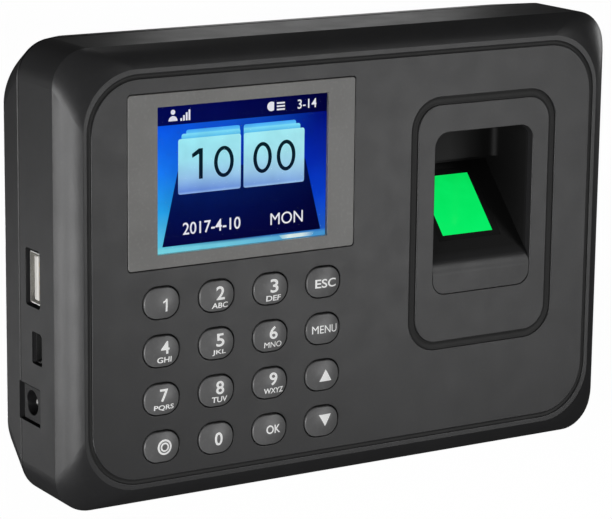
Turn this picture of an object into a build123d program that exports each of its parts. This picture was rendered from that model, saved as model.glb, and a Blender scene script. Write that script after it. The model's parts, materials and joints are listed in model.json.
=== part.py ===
from build123d import *
import math
import os

# Fingerprint scanner terminal, hung on a wall plate.
# Frame: X to the right seen from the front, Z up, the front faces -Y.
# Origin: centre of the wall plate's back face, on the wall. All lengths in mm.
# A "level" is a distance in front of the wall, so a level h lies at Y = -h.

os.makedirs("parts", exist_ok=True)

# ---------------------------------------------------------------- case
HALF_W = 82.3
HALF_H = 57.9
CORNER_R = 9.5
WALL = 2.2
RIM_WALL = 1.2
FUSE = 0.2
OVERRUN = 1.0
PANEL_LEVEL = 36.0
BEVEL_FOOT = 30.75
BEVEL_BULGE = 0.45
RING_HALF_W = 76.7
RING_HALF_H = 52.7
RING_R = 14.5
FRONT_INSIDE = PANEL_LEVEL - WALL
SEAM_LEVEL = 12.0
SEAM_GAP = 0.5
SEAM_EDGE = 0.25
BACK_LEVEL = 0.4
BACK_HALF_W = 81.3
BACK_HALF_H = 56.6
BACK_R = 18.0
BACK_EDGE = 2.5
GROOVE_HALF_W = 75.13
GROOVE_HALF_H = 50.86
GROOVE_R = 13.6
GROOVE_WIDTH = 1.1
GROOVE_DEPTH = 0.7
EDGE_ROUND = 0.2

# ---------------------------------------------------------------- display
WINDOW_X = -32.14
WINDOW_Z = 24.605
WINDOW_W = 65.26
WINDOW_H = 43.83
WINDOW_R = 1.0
WINDOW_GAP = 0.15
WINDOW_THICK = 1.0
WINDOW_LEVEL = PANEL_LEVEL - 0.05
WINDOW_EDGE = 0.1
TAPE_THICK = 0.15
TAPE_INSET = 0.4
TAPE_CLEAR = 0.8
SCREEN_X = -31.97
SCREEN_Z = 24.57
SCREEN_W = 48.96
SCREEN_H = 36.72
LCD_W = 60.3
LCD_H = 42.7
LCD_PLAY = 0.15
LCD_GLASS_THICK = 1.4
LCD_GLASS_INSET = 0.15
LCD_BACKLIGHT_THICK = 2.1
LCD_BACKLIGHT_R = 0.5
LCD_LEVEL = WINDOW_LEVEL - WINDOW_THICK - TAPE_THICK
POCKET_LEVEL = LCD_LEVEL
BRACKET_THICK = 1.4
BRACKET_SCREW_X = 32.6
BRACKET_SCREW_Z = 15.5
BRACKET_DROP = 0.4
BRACKET_EAR = 2.3
BRACKET_OVERHANG = 0.8
BRACKET_RIM = 7.0
FLEX_W = 30.0
FLEX_THICK = 0.2
FLEX_BEND = 3.7
FLEX_LEAD = 1.2

# ---------------------------------------------------------------- keypad
KEY_PITCH_X = 15.608
KEY_PITCH_Z = 12.27
KEY_FIRST_X = -55.50
KEY_FIRST_Z = -5.78
KEY_HOLE_W = 10.4
KEY_HOLE_H = 8.4
KEY_HOLE_R = 4.0
KEY_GAP = 0.3
KEY_PROUD = 0.95
KEY_DOME_R = 17.0
KEY_EDGE = 0.35
KEY_FLANGE = 0.55
KEY_FLANGE_THICK = 0.8
KEY_FLANGE_GAP = 0.1
KEY_STEM_R = 2.2
KEY_STEM_LEVEL = 31.75
KEY_NAMES = (
    ("key_1", "key_2", "key_3", "key_escape"),
    ("key_4", "key_5", "key_6", "key_menu"),
    ("key_7", "key_8", "key_9", "key_up"),
    ("key_power", "key_0", "key_ok", "key_down"),
)
KEYPAD_X = KEY_FIRST_X + 1.5 * KEY_PITCH_X
KEYPAD_Z = KEY_FIRST_Z - 1.5 * KEY_PITCH_Z
MAT_LEVEL = 30.3
MAT_THICK = 1.0
MAT_W = 63.0
MAT_H = 47.5
MAT_RIM = 0.5
MAT_PLAY = 0.2
MAT_COLLAR = 0.8
MAT_HOLE_R = KEY_STEM_R + MAT_COLLAR
KEYPAD_BOARD_THICK = 1.6
KEYPAD_BOARD_W = 66.5
KEYPAD_BOARD_H = 49.5
DOME_R = 2.1
DOME_THICK = 0.3
DOME_EDGE = 0.2
CONNECTOR_Z = -12.0
CONNECTOR_SIZE = (26.0, 2.5)
KEYPAD_SCREW_PITCH_X = 2 * KEY_PITCH_X
KEYPAD_SCREW_PITCH_Z = 2 * KEY_PITCH_Z

# ---------------------------------------------------------------- finger bay
BAY_X = 40.75
BAY_HALF_W = 15.55
BAY_BOTTOM = -13.47
BAY_TOP = 29.67
BAY_R = 4.0
BAY_GAP = 0.15
SURROUND_X = 40.67
SURROUND_Z = 5.48
SURROUND_W = 43.63
SURROUND_H = 65.16
SURROUND_R = 7.6
SURROUND_GROOVE = 2.1
SURROUND_DEPTH = 0.9
BAY_WALL = 1.5
SLOPE_ANGLE = 47.5
LIP_LEVEL = PANEL_LEVEL - 0.2
LIP_Z = -6.3
LIP_ROUND = 5.2
BAY_REAR_LEVEL = PANEL_LEVEL - 17.0
BAY_REAR_EDGE_Z = 18.6
BAY_REAR_MID_Z = (BAY_REAR_EDGE_Z + BAY_TOP) / 2
BAY_REAR_R = 2.0
BAY_MID_LEVEL = (PANEL_LEVEL + BAY_REAR_LEVEL) / 2
BAY_POCKET_LEVEL = PANEL_LEVEL - 21.5
SLOPE_WALL = 1.6
BAY_FLANGE_LEVEL = 31.0
BAY_FLANGE_THICK = 1.5
BAY_FLANGE_HALF_W = 23.4
BAY_FLANGE_BOTTOM = -20.0
BAY_FLANGE_TOP = 36.0
BAY_FLANGE_R = 3.0
BAY_SCREW_X = 19.95
BAY_SCREW_Z = (-11.0, 28.5)
GLASS_W = 16.2
GLASS_FROM = 9.4
GLASS_TO = 27.9
GLASS_MIDDLE = (GLASS_FROM + GLASS_TO) / 2
GLASS_SUNK = 0.3
PRISM_DEPTH = 8.4
PRISM_RIM = 1.5
PRISM_FOOT = 2.0
PRISM_GAP = 0.05
SENSOR_FRAME_W = 19.6
SENSOR_FRAME_R = 0.6
SENSOR_PLAY = 0.1
SENSOR_FRAME_FROM = 7.9
SENSOR_FRAME_TO = 29.4
HOUSING_HALF_W = 11.1
HOUSING_WALL = 1.4

# ---------------------------------------------------------------- boards
BOARD_THICK = 1.6
BOARD_R = 1.5
MAIN_BOARD_LEVEL = 22.8
MAIN_BOARD_LEFT = -79.2
MAIN_BOARD_RIGHT = 13.0
MAIN_BOARD_HALF_H = 41.0
MAIN_SCREWS = ((-72.0, 33.0), (-72.0, -10.0), (8.0, 33.0), (8.0, -38.0))
BOSS_R = 2.3
PILOT_R = 0.85
SCREW_SHANK_R = 0.8
SCREW_CLEARANCE_R = 1.1
SCREW_HEAD_R = 1.9
SCREW_HEAD_THICK = 1.3
SCREW_HEAD_ROUND = 0.4
SCREW_CROSS = (2.0, 0.4)
SCREW_CROSS_DEPTH = 0.7
COIN_PLAY = 0.1

# ---------------------------------------------------------------- ports
USB_LEVEL = 19.25
USB_Z = 0.0
USB_HOLE = (7.9, 14.6, 1.0)
USB_SHELL = (5.7, 13.1)
USB_SHELL_R = 0.6
USB_SHEET = 0.3
USB_ROOM = (USB_SHELL[0] - 2 * USB_SHEET, USB_SHELL[1] - 2 * USB_SHEET)
USB_BLOCK_R = 0.4
PORT_PLAY = 0.05
USB_SHELL_X = -81.6
USB_SHELL_LENGTH = 14.0
USB_TONGUE = (1.84, 11.2)
USB_TONGUE_X = -81.4
USB_TONGUE_LEVEL = USB_LEVEL + 0.05
USB_TONGUE_LENGTH = 9.0
USB_TONGUE_ROOT_X = USB_TONGUE_X + USB_TONGUE_LENGTH
USB_TONGUE_EDGE = 0.25
MINI_LEVEL = 20.8
MINI_Z = -17.5
MINI_HOLE = (5.4, 8.2, 0.6)
MINI_HOLE_LEVEL = 21.3
MINI_SHELL = (3.9, 7.6)
MINI_SHELL_X = -81.3
MINI_SHELL_LENGTH = 9.0
MINI_SHOULDER = 1.0
MINI_TAPER = 1.3
MINI_TONGUE = (0.9, 4.8)
MINI_TONGUE_X = MINI_SHELL_X + 1.2
MINI_TONGUE_LENGTH = 5.0
MINI_BLOCK = (2.2, 6.2)
JACK_LEVEL = 18.2
JACK_Z = -32.0
JACK_BODY_TOP = -27.8
JACK_BODY_BOTTOM = -36.7
JACK_MIDDLE = (JACK_BODY_TOP + JACK_BODY_BOTTOM) / 2
JACK_BODY_FRONT = 22.6
JACK_BODY_BACK = 13.8
JACK_LENGTH = 14.0
JACK_FACE_SUNK = 0.1
JACK_EDGE = 0.2
JACK_HOLE_R = 3.1
JACK_HOLE_DEPTH = 9.5
JACK_PIN_R = 1.0
JACK_PIN_SUNK = 1.3
JACK_PIN_EDGE = 0.6
JACK_CUT = (12.0, 14.0)
JACK_NOTCH_TOP = JACK_BODY_TOP + 0.1
JACK_NOTCH_OVERCUT = 0.6
JACK_NOTCH_BOTTOM = -37.5
JACK_NOTCH_FRONT = 22.75
JACK_NOTCH_BACK = 11.0

# ---------------------------------------------------------------- back
CASE_SCREW_X = 70.5
CASE_SCREW_Z = 47.5
CASE_BOSS_R = 3.5
CASE_PILOT_R = 1.1
CASE_HOLE_R = 1.6
CASE_SCREW_SEAT = 8.0
CASE_SHANK_R = 1.05
CASE_SHANK_LENGTH = 14.0
BACK_BOSS_R = 4.1
SUNK_HEAD_R = 3.0
BIG_HEAD_R = 2.7
BIG_HEAD_THICK = 2.2
BIG_HEAD_ROUND = 0.6
BIG_CROSS = (3.0, 0.6)
BIG_CROSS_DEPTH = 1.2
BACK_WALL = WALL + 0.5
RECESS_HALF_W = 51.0
RECESS_TOP = 35.0
RECESS_BOTTOM = -49.5
RECESS_LEVEL = 4.5
RECESS_R = 2.0
SPEAKER_X = 66.0
SPEAKER_Z = -5.0
SPEAKER_R = 11.5
SPEAKER_THICK = 5.0
SPEAKER_RIM = 2.0
SPEAKER_EDGE = 1.2
SPEAKER_CONE_DEPTH = 0.8
SPEAKER_MAGNET_R = 7.0
SPEAKER_LEVEL = BACK_LEVEL + WALL + 0.2
GRILLE_HOLE_R = 0.8
PLATE_THICK = 1.5
PLATE_HALF_W = 50.0
PLATE_TOP = 34.0
PLATE_BOTTOM = -48.5
PLATE_R = 3.0
PLATE_HOLE_R = 2.25
PLATE_HOLES_X = 80.0
PLATE_HOLES_Z = 50.0
BOX_HOLES_X = 60.3
HOOK_X = 30.0
HOOK_Z = 24.0
HOOK_W = 8.0
HOOK_HEIGHT = 6.5
HOOK_PLAY = 0.3
HOOK_SLOT_Z = HOOK_Z - 2.0
HOOK_SLOT = (HOOK_W + 1.0, 11.0)
TAB_W = 11.6
TAB_REACH = 2.8
TAB_SLOT = (12.6, 4.2)
LOCK_LEVEL = 4.6
LOCK_SCREW_R = 1.5
LOCK_HOLE_R = 1.7
LOCK_SHANK_LENGTH = 7.5
LOCK_HEAD_THICK = 2.0
LOCK_HEAD_SEAT = RECESS_BOTTOM - 3.8
LOCK_BLOCK = (14.0, 6.8)
LOCK_BLOCK_REACH = 4.4
THREAD_PLAY = 0.02


def level(height):
    """Plane parallel to the wall, height in front of it, facing forwards."""
    return Plane.XZ.offset(height)


def side(x):
    """Plane across the terminal at X = x. Its own axes are +Y and +Z."""
    return Plane.YZ.offset(x)


def slope_point(along, depth):
    """(Y, Z) of a point along the bay's slope, depth under its surface."""
    angle = math.radians(SLOPE_ANGLE)
    y = -LIP_LEVEL + along * math.cos(angle) + depth * math.sin(angle)
    z = LIP_Z + along * math.sin(angle) - depth * math.cos(angle)
    return (y, z)


def slope_along_at(y, depth):
    """Distance along the slope at which it reaches a given Y, at a depth."""
    angle = math.radians(SLOPE_ANGLE)
    return (y + LIP_LEVEL - depth * math.sin(angle)) / math.cos(angle)


def slope_plane(depth):
    """Plane of the bay's slope, depth under its surface, facing the finger."""
    angle = math.radians(SLOPE_ANGLE)
    normal = (0, -math.sin(angle), math.cos(angle))
    return Plane(origin=(BAY_X, -LIP_LEVEL, LIP_Z), x_dir=(1, 0, 0), z_dir=normal).offset(-depth)


def nearest_edge(builder, axis, point):
    """The part's edge along an axis that lies nearest to a point."""
    return builder.edges().filter_by(axis).sort_by_distance(point)[0]


def write(builder, name):
    """Label a finished piece and export it as its own file."""
    builder.part.label = name
    export_step(builder.part, f"parts/{name}.step")


def key_centre(column, row):
    return (KEY_FIRST_X + column * KEY_PITCH_X, KEY_FIRST_Z - row * KEY_PITCH_Z)


KEY_CENTRES = [key_centre(column, row) for row in range(4) for column in range(4)]
KEYPAD_SCREWS = [
    (KEYPAD_X + sx * KEYPAD_SCREW_PITCH_X / 2, KEYPAD_Z + sz * KEYPAD_SCREW_PITCH_Z / 2)
    for sx in (-1, 1)
    for sz in (-1, 1)
]
BRACKET_SCREWS = [
    (WINDOW_X + sx * BRACKET_SCREW_X, WINDOW_Z + sz * BRACKET_SCREW_Z)
    for sx in (-1, 1)
    for sz in (-1, 1)
]
BAY_SCREWS = [(BAY_X + sx * BAY_SCREW_X, z) for sx in (-1, 1) for z in BAY_SCREW_Z]


# ---------------------------------------------------------------- front shell
INNER_R = CORNER_R - WALL
SHOULDER_LEVEL = 29.0
CASE_SCREWS = [(sx * CASE_SCREW_X, sz * CASE_SCREW_Z) for sx in (-1, 1) for sz in (-1, 1)]
LCD_BACK_LEVEL = LCD_LEVEL - LCD_GLASS_THICK - LCD_BACKLIGHT_THICK
FRONT_BOSSES = (
    (CASE_SCREWS, SEAM_LEVEL + 0.5, CASE_BOSS_R, CASE_PILOT_R, 20.0),
    (MAIN_SCREWS, MAIN_BOARD_LEVEL + BOARD_THICK, BOSS_R, PILOT_R, 7.0),
    (BRACKET_SCREWS, LCD_BACK_LEVEL, BOSS_R - 0.1, PILOT_R, 2.6),
    (KEYPAD_SCREWS, MAT_LEVEL, BOSS_R - 0.1, PILOT_R, 3.6),
    (BAY_SCREWS, BAY_FLANGE_LEVEL, BOSS_R, PILOT_R, 3.0),
)

with BuildPart() as front_shell:
    # side walls, straight from the seam to the foot of the bevel
    with BuildSketch(level(SEAM_LEVEL + SEAM_GAP / 2)):
        RectangleRounded(2 * HALF_W, 2 * HALF_H, CORNER_R)
    extrude(amount=BEVEL_FOOT - SEAM_LEVEL - SEAM_GAP / 2)
    # soft bevel, wider at the corners, that carries the sides onto the front ring
    with BuildSketch(level(BEVEL_FOOT)):
        RectangleRounded(2 * HALF_W, 2 * HALF_H, CORNER_R)
    with BuildSketch(level((BEVEL_FOOT + PANEL_LEVEL) / 2 + BEVEL_BULGE)):
        RectangleRounded(
            HALF_W + RING_HALF_W + 2 * BEVEL_BULGE,
            HALF_H + RING_HALF_H + 2 * BEVEL_BULGE,
            (CORNER_R + RING_R) / 2,
        )
    with BuildSketch(level(PANEL_LEVEL)):
        RectangleRounded(2 * RING_HALF_W, 2 * RING_HALF_H, RING_R)
    loft()
    # hollow inside, narrowing behind the bevel
    with BuildSketch(level(SEAM_LEVEL)):
        RectangleRounded(2 * (HALF_W - WALL), 2 * (HALF_H - WALL), INNER_R)
    extrude(amount=SHOULDER_LEVEL - SEAM_LEVEL, mode=Mode.SUBTRACT)
    with BuildSketch(level(SHOULDER_LEVEL)):
        RectangleRounded(2 * (HALF_W - WALL), 2 * (HALF_H - WALL), INNER_R)
    with BuildSketch(level(FRONT_INSIDE)):
        RectangleRounded(2 * (RING_HALF_W - RIM_WALL), 2 * (RING_HALF_H - RIM_WALL), RING_R - RIM_WALL)
    loft(ruled=True, mode=Mode.SUBTRACT)
    # screw bosses under the panel, each with its pilot hole
    for centres, end_level, radius, pilot, pilot_depth in FRONT_BOSSES:
        with BuildSketch(level(end_level)):
            with Locations(centres):
                Circle(radius)
        extrude(amount=FRONT_INSIDE + FUSE - end_level)
        with BuildSketch(level(end_level)):
            with Locations(centres):
                Circle(pilot)
        extrude(amount=pilot_depth, mode=Mode.SUBTRACT)
    # window pocket
    with BuildSketch(level(PANEL_LEVEL)):
        with Locations((WINDOW_X, WINDOW_Z)):
            RectangleRounded(WINDOW_W, WINDOW_H, WINDOW_R)
    extrude(amount=POCKET_LEVEL - PANEL_LEVEL, mode=Mode.SUBTRACT)
    # screen opening, key holes and the finger bay's mouth
    with BuildSketch(level(PANEL_LEVEL)):
        with Locations((WINDOW_X, WINDOW_Z)):
            Rectangle(LCD_W + 2 * LCD_PLAY, LCD_H + 2 * LCD_PLAY)
        with Locations(KEY_CENTRES):
            RectangleRounded(KEY_HOLE_W, KEY_HOLE_H, KEY_HOLE_R)
        with Locations((BAY_X, (BAY_TOP + BAY_BOTTOM) / 2)):
            RectangleRounded(2 * BAY_HALF_W, BAY_TOP - BAY_BOTTOM, BAY_R)
    extrude(amount=-1.2 * WALL, mode=Mode.SUBTRACT)
    # line groove round the panel and broad groove round the finger bay
    with BuildSketch(level(PANEL_LEVEL)):
        RectangleRounded(
            2 * GROOVE_HALF_W + GROOVE_WIDTH,
            2 * GROOVE_HALF_H + GROOVE_WIDTH,
            GROOVE_R + GROOVE_WIDTH / 2,
        )
        RectangleRounded(
            2 * GROOVE_HALF_W - GROOVE_WIDTH,
            2 * GROOVE_HALF_H - GROOVE_WIDTH,
            GROOVE_R - GROOVE_WIDTH / 2,
            mode=Mode.SUBTRACT,
        )
    extrude(amount=-GROOVE_DEPTH, mode=Mode.SUBTRACT)
    with BuildSketch(level(PANEL_LEVEL)):
        with Locations((SURROUND_X, SURROUND_Z)):
            RectangleRounded(
                SURROUND_W + SURROUND_GROOVE,
                SURROUND_H + SURROUND_GROOVE,
                SURROUND_R + SURROUND_GROOVE / 2,
            )
            RectangleRounded(
                SURROUND_W - SURROUND_GROOVE,
                SURROUND_H - SURROUND_GROOVE,
                SURROUND_R - SURROUND_GROOVE / 2,
                mode=Mode.SUBTRACT,
            )
    extrude(amount=-SURROUND_DEPTH, mode=Mode.SUBTRACT)
    # port cut-outs in the left wall, and the power jack's notch, open to the seam
    with BuildSketch(side(-HALF_W - 1)):
        with Locations((-USB_LEVEL, USB_Z)):
            RectangleRounded(*USB_HOLE)
        with Locations((-MINI_HOLE_LEVEL, MINI_Z)):
            RectangleRounded(*MINI_HOLE)
        with Locations((-JACK_NOTCH_FRONT, JACK_NOTCH_TOP)):
            Rectangle(
                JACK_NOTCH_FRONT - SEAM_LEVEL + 1,
                JACK_NOTCH_TOP - JACK_NOTCH_BOTTOM,
                align=(Align.MIN, Align.MAX),
            )
    extrude(amount=WALL + 2, mode=Mode.SUBTRACT)
    # every edge of the panel's front is slightly rounded
    panel_faces = front_shell.faces().filter_by(Plane.XZ).group_by(Axis.Y)[0]
    fillet(panel_faces.edges(), EDGE_ROUND)
write(front_shell, "front_shell")

# ---------------------------------------------------------------- display
with BuildPart() as display_window:
    with BuildSketch(level(WINDOW_LEVEL)):
        with Locations((WINDOW_X, WINDOW_Z)):
            RectangleRounded(WINDOW_W - 2 * WINDOW_GAP, WINDOW_H - 2 * WINDOW_GAP, WINDOW_R - WINDOW_GAP)
    extrude(amount=-WINDOW_THICK)
    fillet(display_window.faces().sort_by(Axis.Y)[0].edges(), WINDOW_EDGE)
write(display_window, "display_window")

with BuildPart() as window_tape:
    with BuildSketch(level(LCD_LEVEL)):
        with Locations((WINDOW_X, WINDOW_Z)):
            RectangleRounded(WINDOW_W - 2 * TAPE_INSET, WINDOW_H - 2 * TAPE_INSET, WINDOW_R - TAPE_INSET)
        with Locations((SCREEN_X, SCREEN_Z)):
            Rectangle(SCREEN_W + 2 * TAPE_CLEAR, SCREEN_H + 2 * TAPE_CLEAR, mode=Mode.SUBTRACT)
    extrude(amount=TAPE_THICK)
write(window_tape, "window_tape")

with BuildPart() as lcd_glass:
    with BuildSketch(level(LCD_LEVEL)):
        with Locations((WINDOW_X, WINDOW_Z)):
            Rectangle(LCD_W - 2 * LCD_GLASS_INSET, LCD_H - 2 * LCD_GLASS_INSET)
    extrude(amount=-LCD_GLASS_THICK)
write(lcd_glass, "lcd_glass")

with BuildPart() as lcd_backlight:
    with BuildSketch(level(LCD_LEVEL - LCD_GLASS_THICK)):
        with Locations((WINDOW_X, WINDOW_Z)):
            Rectangle(LCD_W, LCD_H)
    extrude(amount=-LCD_BACKLIGHT_THICK)
    fillet(lcd_backlight.edges().filter_by(Axis.Y), LCD_BACKLIGHT_R)
write(lcd_backlight, "lcd_backlight")

LCD_TOP = WINDOW_Z + LCD_H / 2
FLEX_LEVEL = LCD_BACK_LEVEL + 1.0
FLEX_RETURN_LEVEL = FLEX_LEVEL - 2 * FLEX_BEND
FLEX_END_Z = 35.0

with BuildPart() as lcd_flex:
    with BuildSketch(side(WINDOW_X - FLEX_W / 2)):
        with BuildLine():
            out = Line((-FLEX_LEVEL, LCD_TOP), (-FLEX_LEVEL, LCD_TOP + FLEX_LEAD))
            bend = TangentArc(out @ 1, (-FLEX_RETURN_LEVEL, LCD_TOP + FLEX_LEAD), tangent=out % 1)
            Line(bend @ 1, (-FLEX_RETURN_LEVEL, FLEX_END_Z))
        trace(line_width=FLEX_THICK)
    extrude(amount=FLEX_W)
write(lcd_flex, "lcd_flex")

with BuildPart() as lcd_bracket:
    with BuildSketch(level(LCD_BACK_LEVEL)):
        with Locations((WINDOW_X, WINDOW_Z - BRACKET_DROP)):
            RectangleRounded(2 * (BRACKET_SCREW_X + BRACKET_EAR), LCD_H + 2 * BRACKET_OVERHANG, BOARD_R)
            RectangleRounded(
                LCD_W - 2 * BRACKET_RIM,
                LCD_H - 2 * BRACKET_RIM,
                BOARD_R,
                mode=Mode.SUBTRACT,
            )
        with Locations(BRACKET_SCREWS):
            Circle(SCREW_CLEARANCE_R, mode=Mode.SUBTRACT)
    extrude(amount=-BRACKET_THICK)
write(lcd_bracket, "lcd_bracket")


# ---------------------------------------------------------------- small screws
def pan_screws(centres, seat_level, length):
    """Pan-head screws driven forwards, heads bearing on seat_level."""
    with BuildPart() as screws:
        with BuildSketch(level(seat_level)):
            with Locations(centres):
                Circle(SCREW_HEAD_R)
        extrude(amount=-SCREW_HEAD_THICK)
        head_rims = screws.faces().filter_by(Plane.XZ).group_by(Axis.Y)[-1].edges()
        fillet(head_rims, SCREW_HEAD_ROUND)
        with BuildSketch(level(seat_level - SCREW_HEAD_THICK)):
            with Locations(centres):
                Rectangle(*SCREW_CROSS)
                Rectangle(*reversed(SCREW_CROSS))
        extrude(amount=SCREW_CROSS_DEPTH, mode=Mode.SUBTRACT)
        with BuildSketch(level(seat_level)):
            with Locations(centres):
                Circle(SCREW_SHANK_R)
        extrude(amount=length)
    return screws


BRACKET_BACK = LCD_BACK_LEVEL - BRACKET_THICK
KEYPAD_BOARD_BACK = MAT_LEVEL - KEYPAD_BOARD_THICK
BAY_FLANGE_BACK = BAY_FLANGE_LEVEL - BAY_FLANGE_THICK
write(pan_screws(BRACKET_SCREWS, BRACKET_BACK, 3.6), "lcd_bracket_screws")
write(pan_screws(KEYPAD_SCREWS, KEYPAD_BOARD_BACK, 4.8), "keypad_screws")
write(pan_screws(BAY_SCREWS, BAY_FLANGE_BACK, 4.0), "bay_screws")
write(pan_screws(MAIN_SCREWS, MAIN_BOARD_LEVEL, 6.0), "main_board_screws")


# ---------------------------------------------------------------- keypad
def make_key(x, z):
    """One key cap: domed top, flange behind the panel and stem to its switch."""
    cap_w = KEY_HOLE_W - 2 * KEY_GAP
    cap_h = KEY_HOLE_H - 2 * KEY_GAP
    cap_r = KEY_HOLE_R - KEY_GAP
    flange_w = KEY_HOLE_W + 2 * KEY_FLANGE
    flange_h = KEY_HOLE_H + 2 * KEY_FLANGE
    flange_level = FRONT_INSIDE - KEY_FLANGE_GAP
    dome_top = PANEL_LEVEL + KEY_PROUD
    with BuildPart() as key:
        with BuildSketch(level(flange_level)):
            with Locations((x, z)):
                RectangleRounded(cap_w, cap_h, cap_r)
        extrude(amount=dome_top - flange_level)
        with Locations((x, -(dome_top - KEY_DOME_R), z)):
            Sphere(KEY_DOME_R, mode=Mode.INTERSECT)
        fillet(key.edges().group_by(Axis.Y)[0], KEY_EDGE)
        with BuildSketch(level(flange_level)):
            with Locations((x, z)):
                RectangleRounded(flange_w, flange_h, KEY_HOLE_R + KEY_FLANGE)
        extrude(amount=-KEY_FLANGE_THICK)
        with BuildSketch(level(flange_level - KEY_FLANGE_THICK)):
            with Locations((x, z)):
                Circle(KEY_STEM_R)
        extrude(amount=KEY_STEM_LEVEL - flange_level + KEY_FLANGE_THICK)
    return key


for row, names in enumerate(KEY_NAMES):
    for column, name in enumerate(names):
        write(make_key(*key_centre(column, row)), name)

with BuildPart() as keypad_mat:
    with BuildSketch(level(MAT_LEVEL)):
        with Locations((KEYPAD_X, KEYPAD_Z)):
            RectangleRounded(MAT_W, MAT_H, BOARD_R)
        with Locations(KEYPAD_SCREWS):
            Circle(BOSS_R + MAT_PLAY, mode=Mode.SUBTRACT)
        with Locations(KEY_CENTRES):
            Circle(MAT_HOLE_R, mode=Mode.SUBTRACT)
    extrude(amount=MAT_THICK)
    with BuildSketch(level(MAT_LEVEL + MAT_THICK)):
        with Locations(KEY_CENTRES):
            Circle(MAT_HOLE_R + MAT_COLLAR)
            Circle(MAT_HOLE_R, mode=Mode.SUBTRACT)
    extrude(amount=MAT_RIM)
write(keypad_mat, "keypad_mat")

with BuildPart() as keypad_board:
    with BuildSketch(level(MAT_LEVEL)):
        with Locations((KEYPAD_X, KEYPAD_Z)):
            RectangleRounded(KEYPAD_BOARD_W, KEYPAD_BOARD_H, BOARD_R)
        with Locations(KEYPAD_SCREWS):
            Circle(SCREW_CLEARANCE_R, mode=Mode.SUBTRACT)
    extrude(amount=-KEYPAD_BOARD_THICK)
write(keypad_board, "keypad_board")

with BuildPart() as snap_domes:
    with BuildSketch(level(MAT_LEVEL)):
        with Locations(KEY_CENTRES):
            Circle(DOME_R)
    extrude(amount=DOME_THICK)
    chamfer(snap_domes.faces().filter_by(Plane.XZ).group_by(Axis.Y)[0].edges(), DOME_EDGE)
write(snap_domes, "snap_domes")

with BuildPart() as keypad_connector:
    with BuildSketch(level(KEYPAD_BOARD_BACK)):
        with Locations((KEYPAD_X, CONNECTOR_Z)):
            Rectangle(*CONNECTOR_SIZE)
    extrude(amount=MAIN_BOARD_LEVEL + BOARD_THICK - KEYPAD_BOARD_BACK)
write(keypad_connector, "keypad_connector")


# ---------------------------------------------------------------- finger bay
def across_bay(half_width):
    """Side-view sketch plane at the bay's left limit, for a width about its centre."""
    return side(BAY_X - half_width)


SLEEVE_HALF_W = BAY_HALF_W - BAY_GAP
POCKET_TOP = slope_point(slope_along_at(-BAY_POCKET_LEVEL, 0), 0)
BAY_BLOCK = (
    (-FRONT_INSIDE, BAY_BOTTOM - BAY_WALL),
    (-FRONT_INSIDE, BAY_TOP - BAY_GAP + BAY_WALL),
    (-BAY_REAR_LEVEL + BAY_WALL, BAY_TOP - BAY_GAP + BAY_WALL),
    (-BAY_REAR_LEVEL + BAY_WALL, BAY_REAR_EDGE_Z + BAY_WALL),
    (-BAY_POCKET_LEVEL + BAY_WALL, BAY_REAR_EDGE_Z + BAY_WALL),
    slope_point(slope_along_at(-BAY_POCKET_LEVEL + BAY_WALL, SLOPE_WALL), SLOPE_WALL),
    slope_point(slope_along_at(-BAY_FLANGE_BACK, SLOPE_WALL), SLOPE_WALL),
    (-BAY_FLANGE_BACK, BAY_BOTTOM - BAY_WALL),
)
BAY_AIR = (
    slope_point(slope_along_at(-PANEL_LEVEL - 3, 0), 0),
    (-PANEL_LEVEL - 3, BAY_TOP - BAY_GAP),
    (-BAY_REAR_LEVEL, BAY_TOP - BAY_GAP),
    (-BAY_REAR_LEVEL, BAY_REAR_EDGE_Z),
    (-BAY_POCKET_LEVEL, BAY_REAR_EDGE_Z),
    POCKET_TOP,
)

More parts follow.
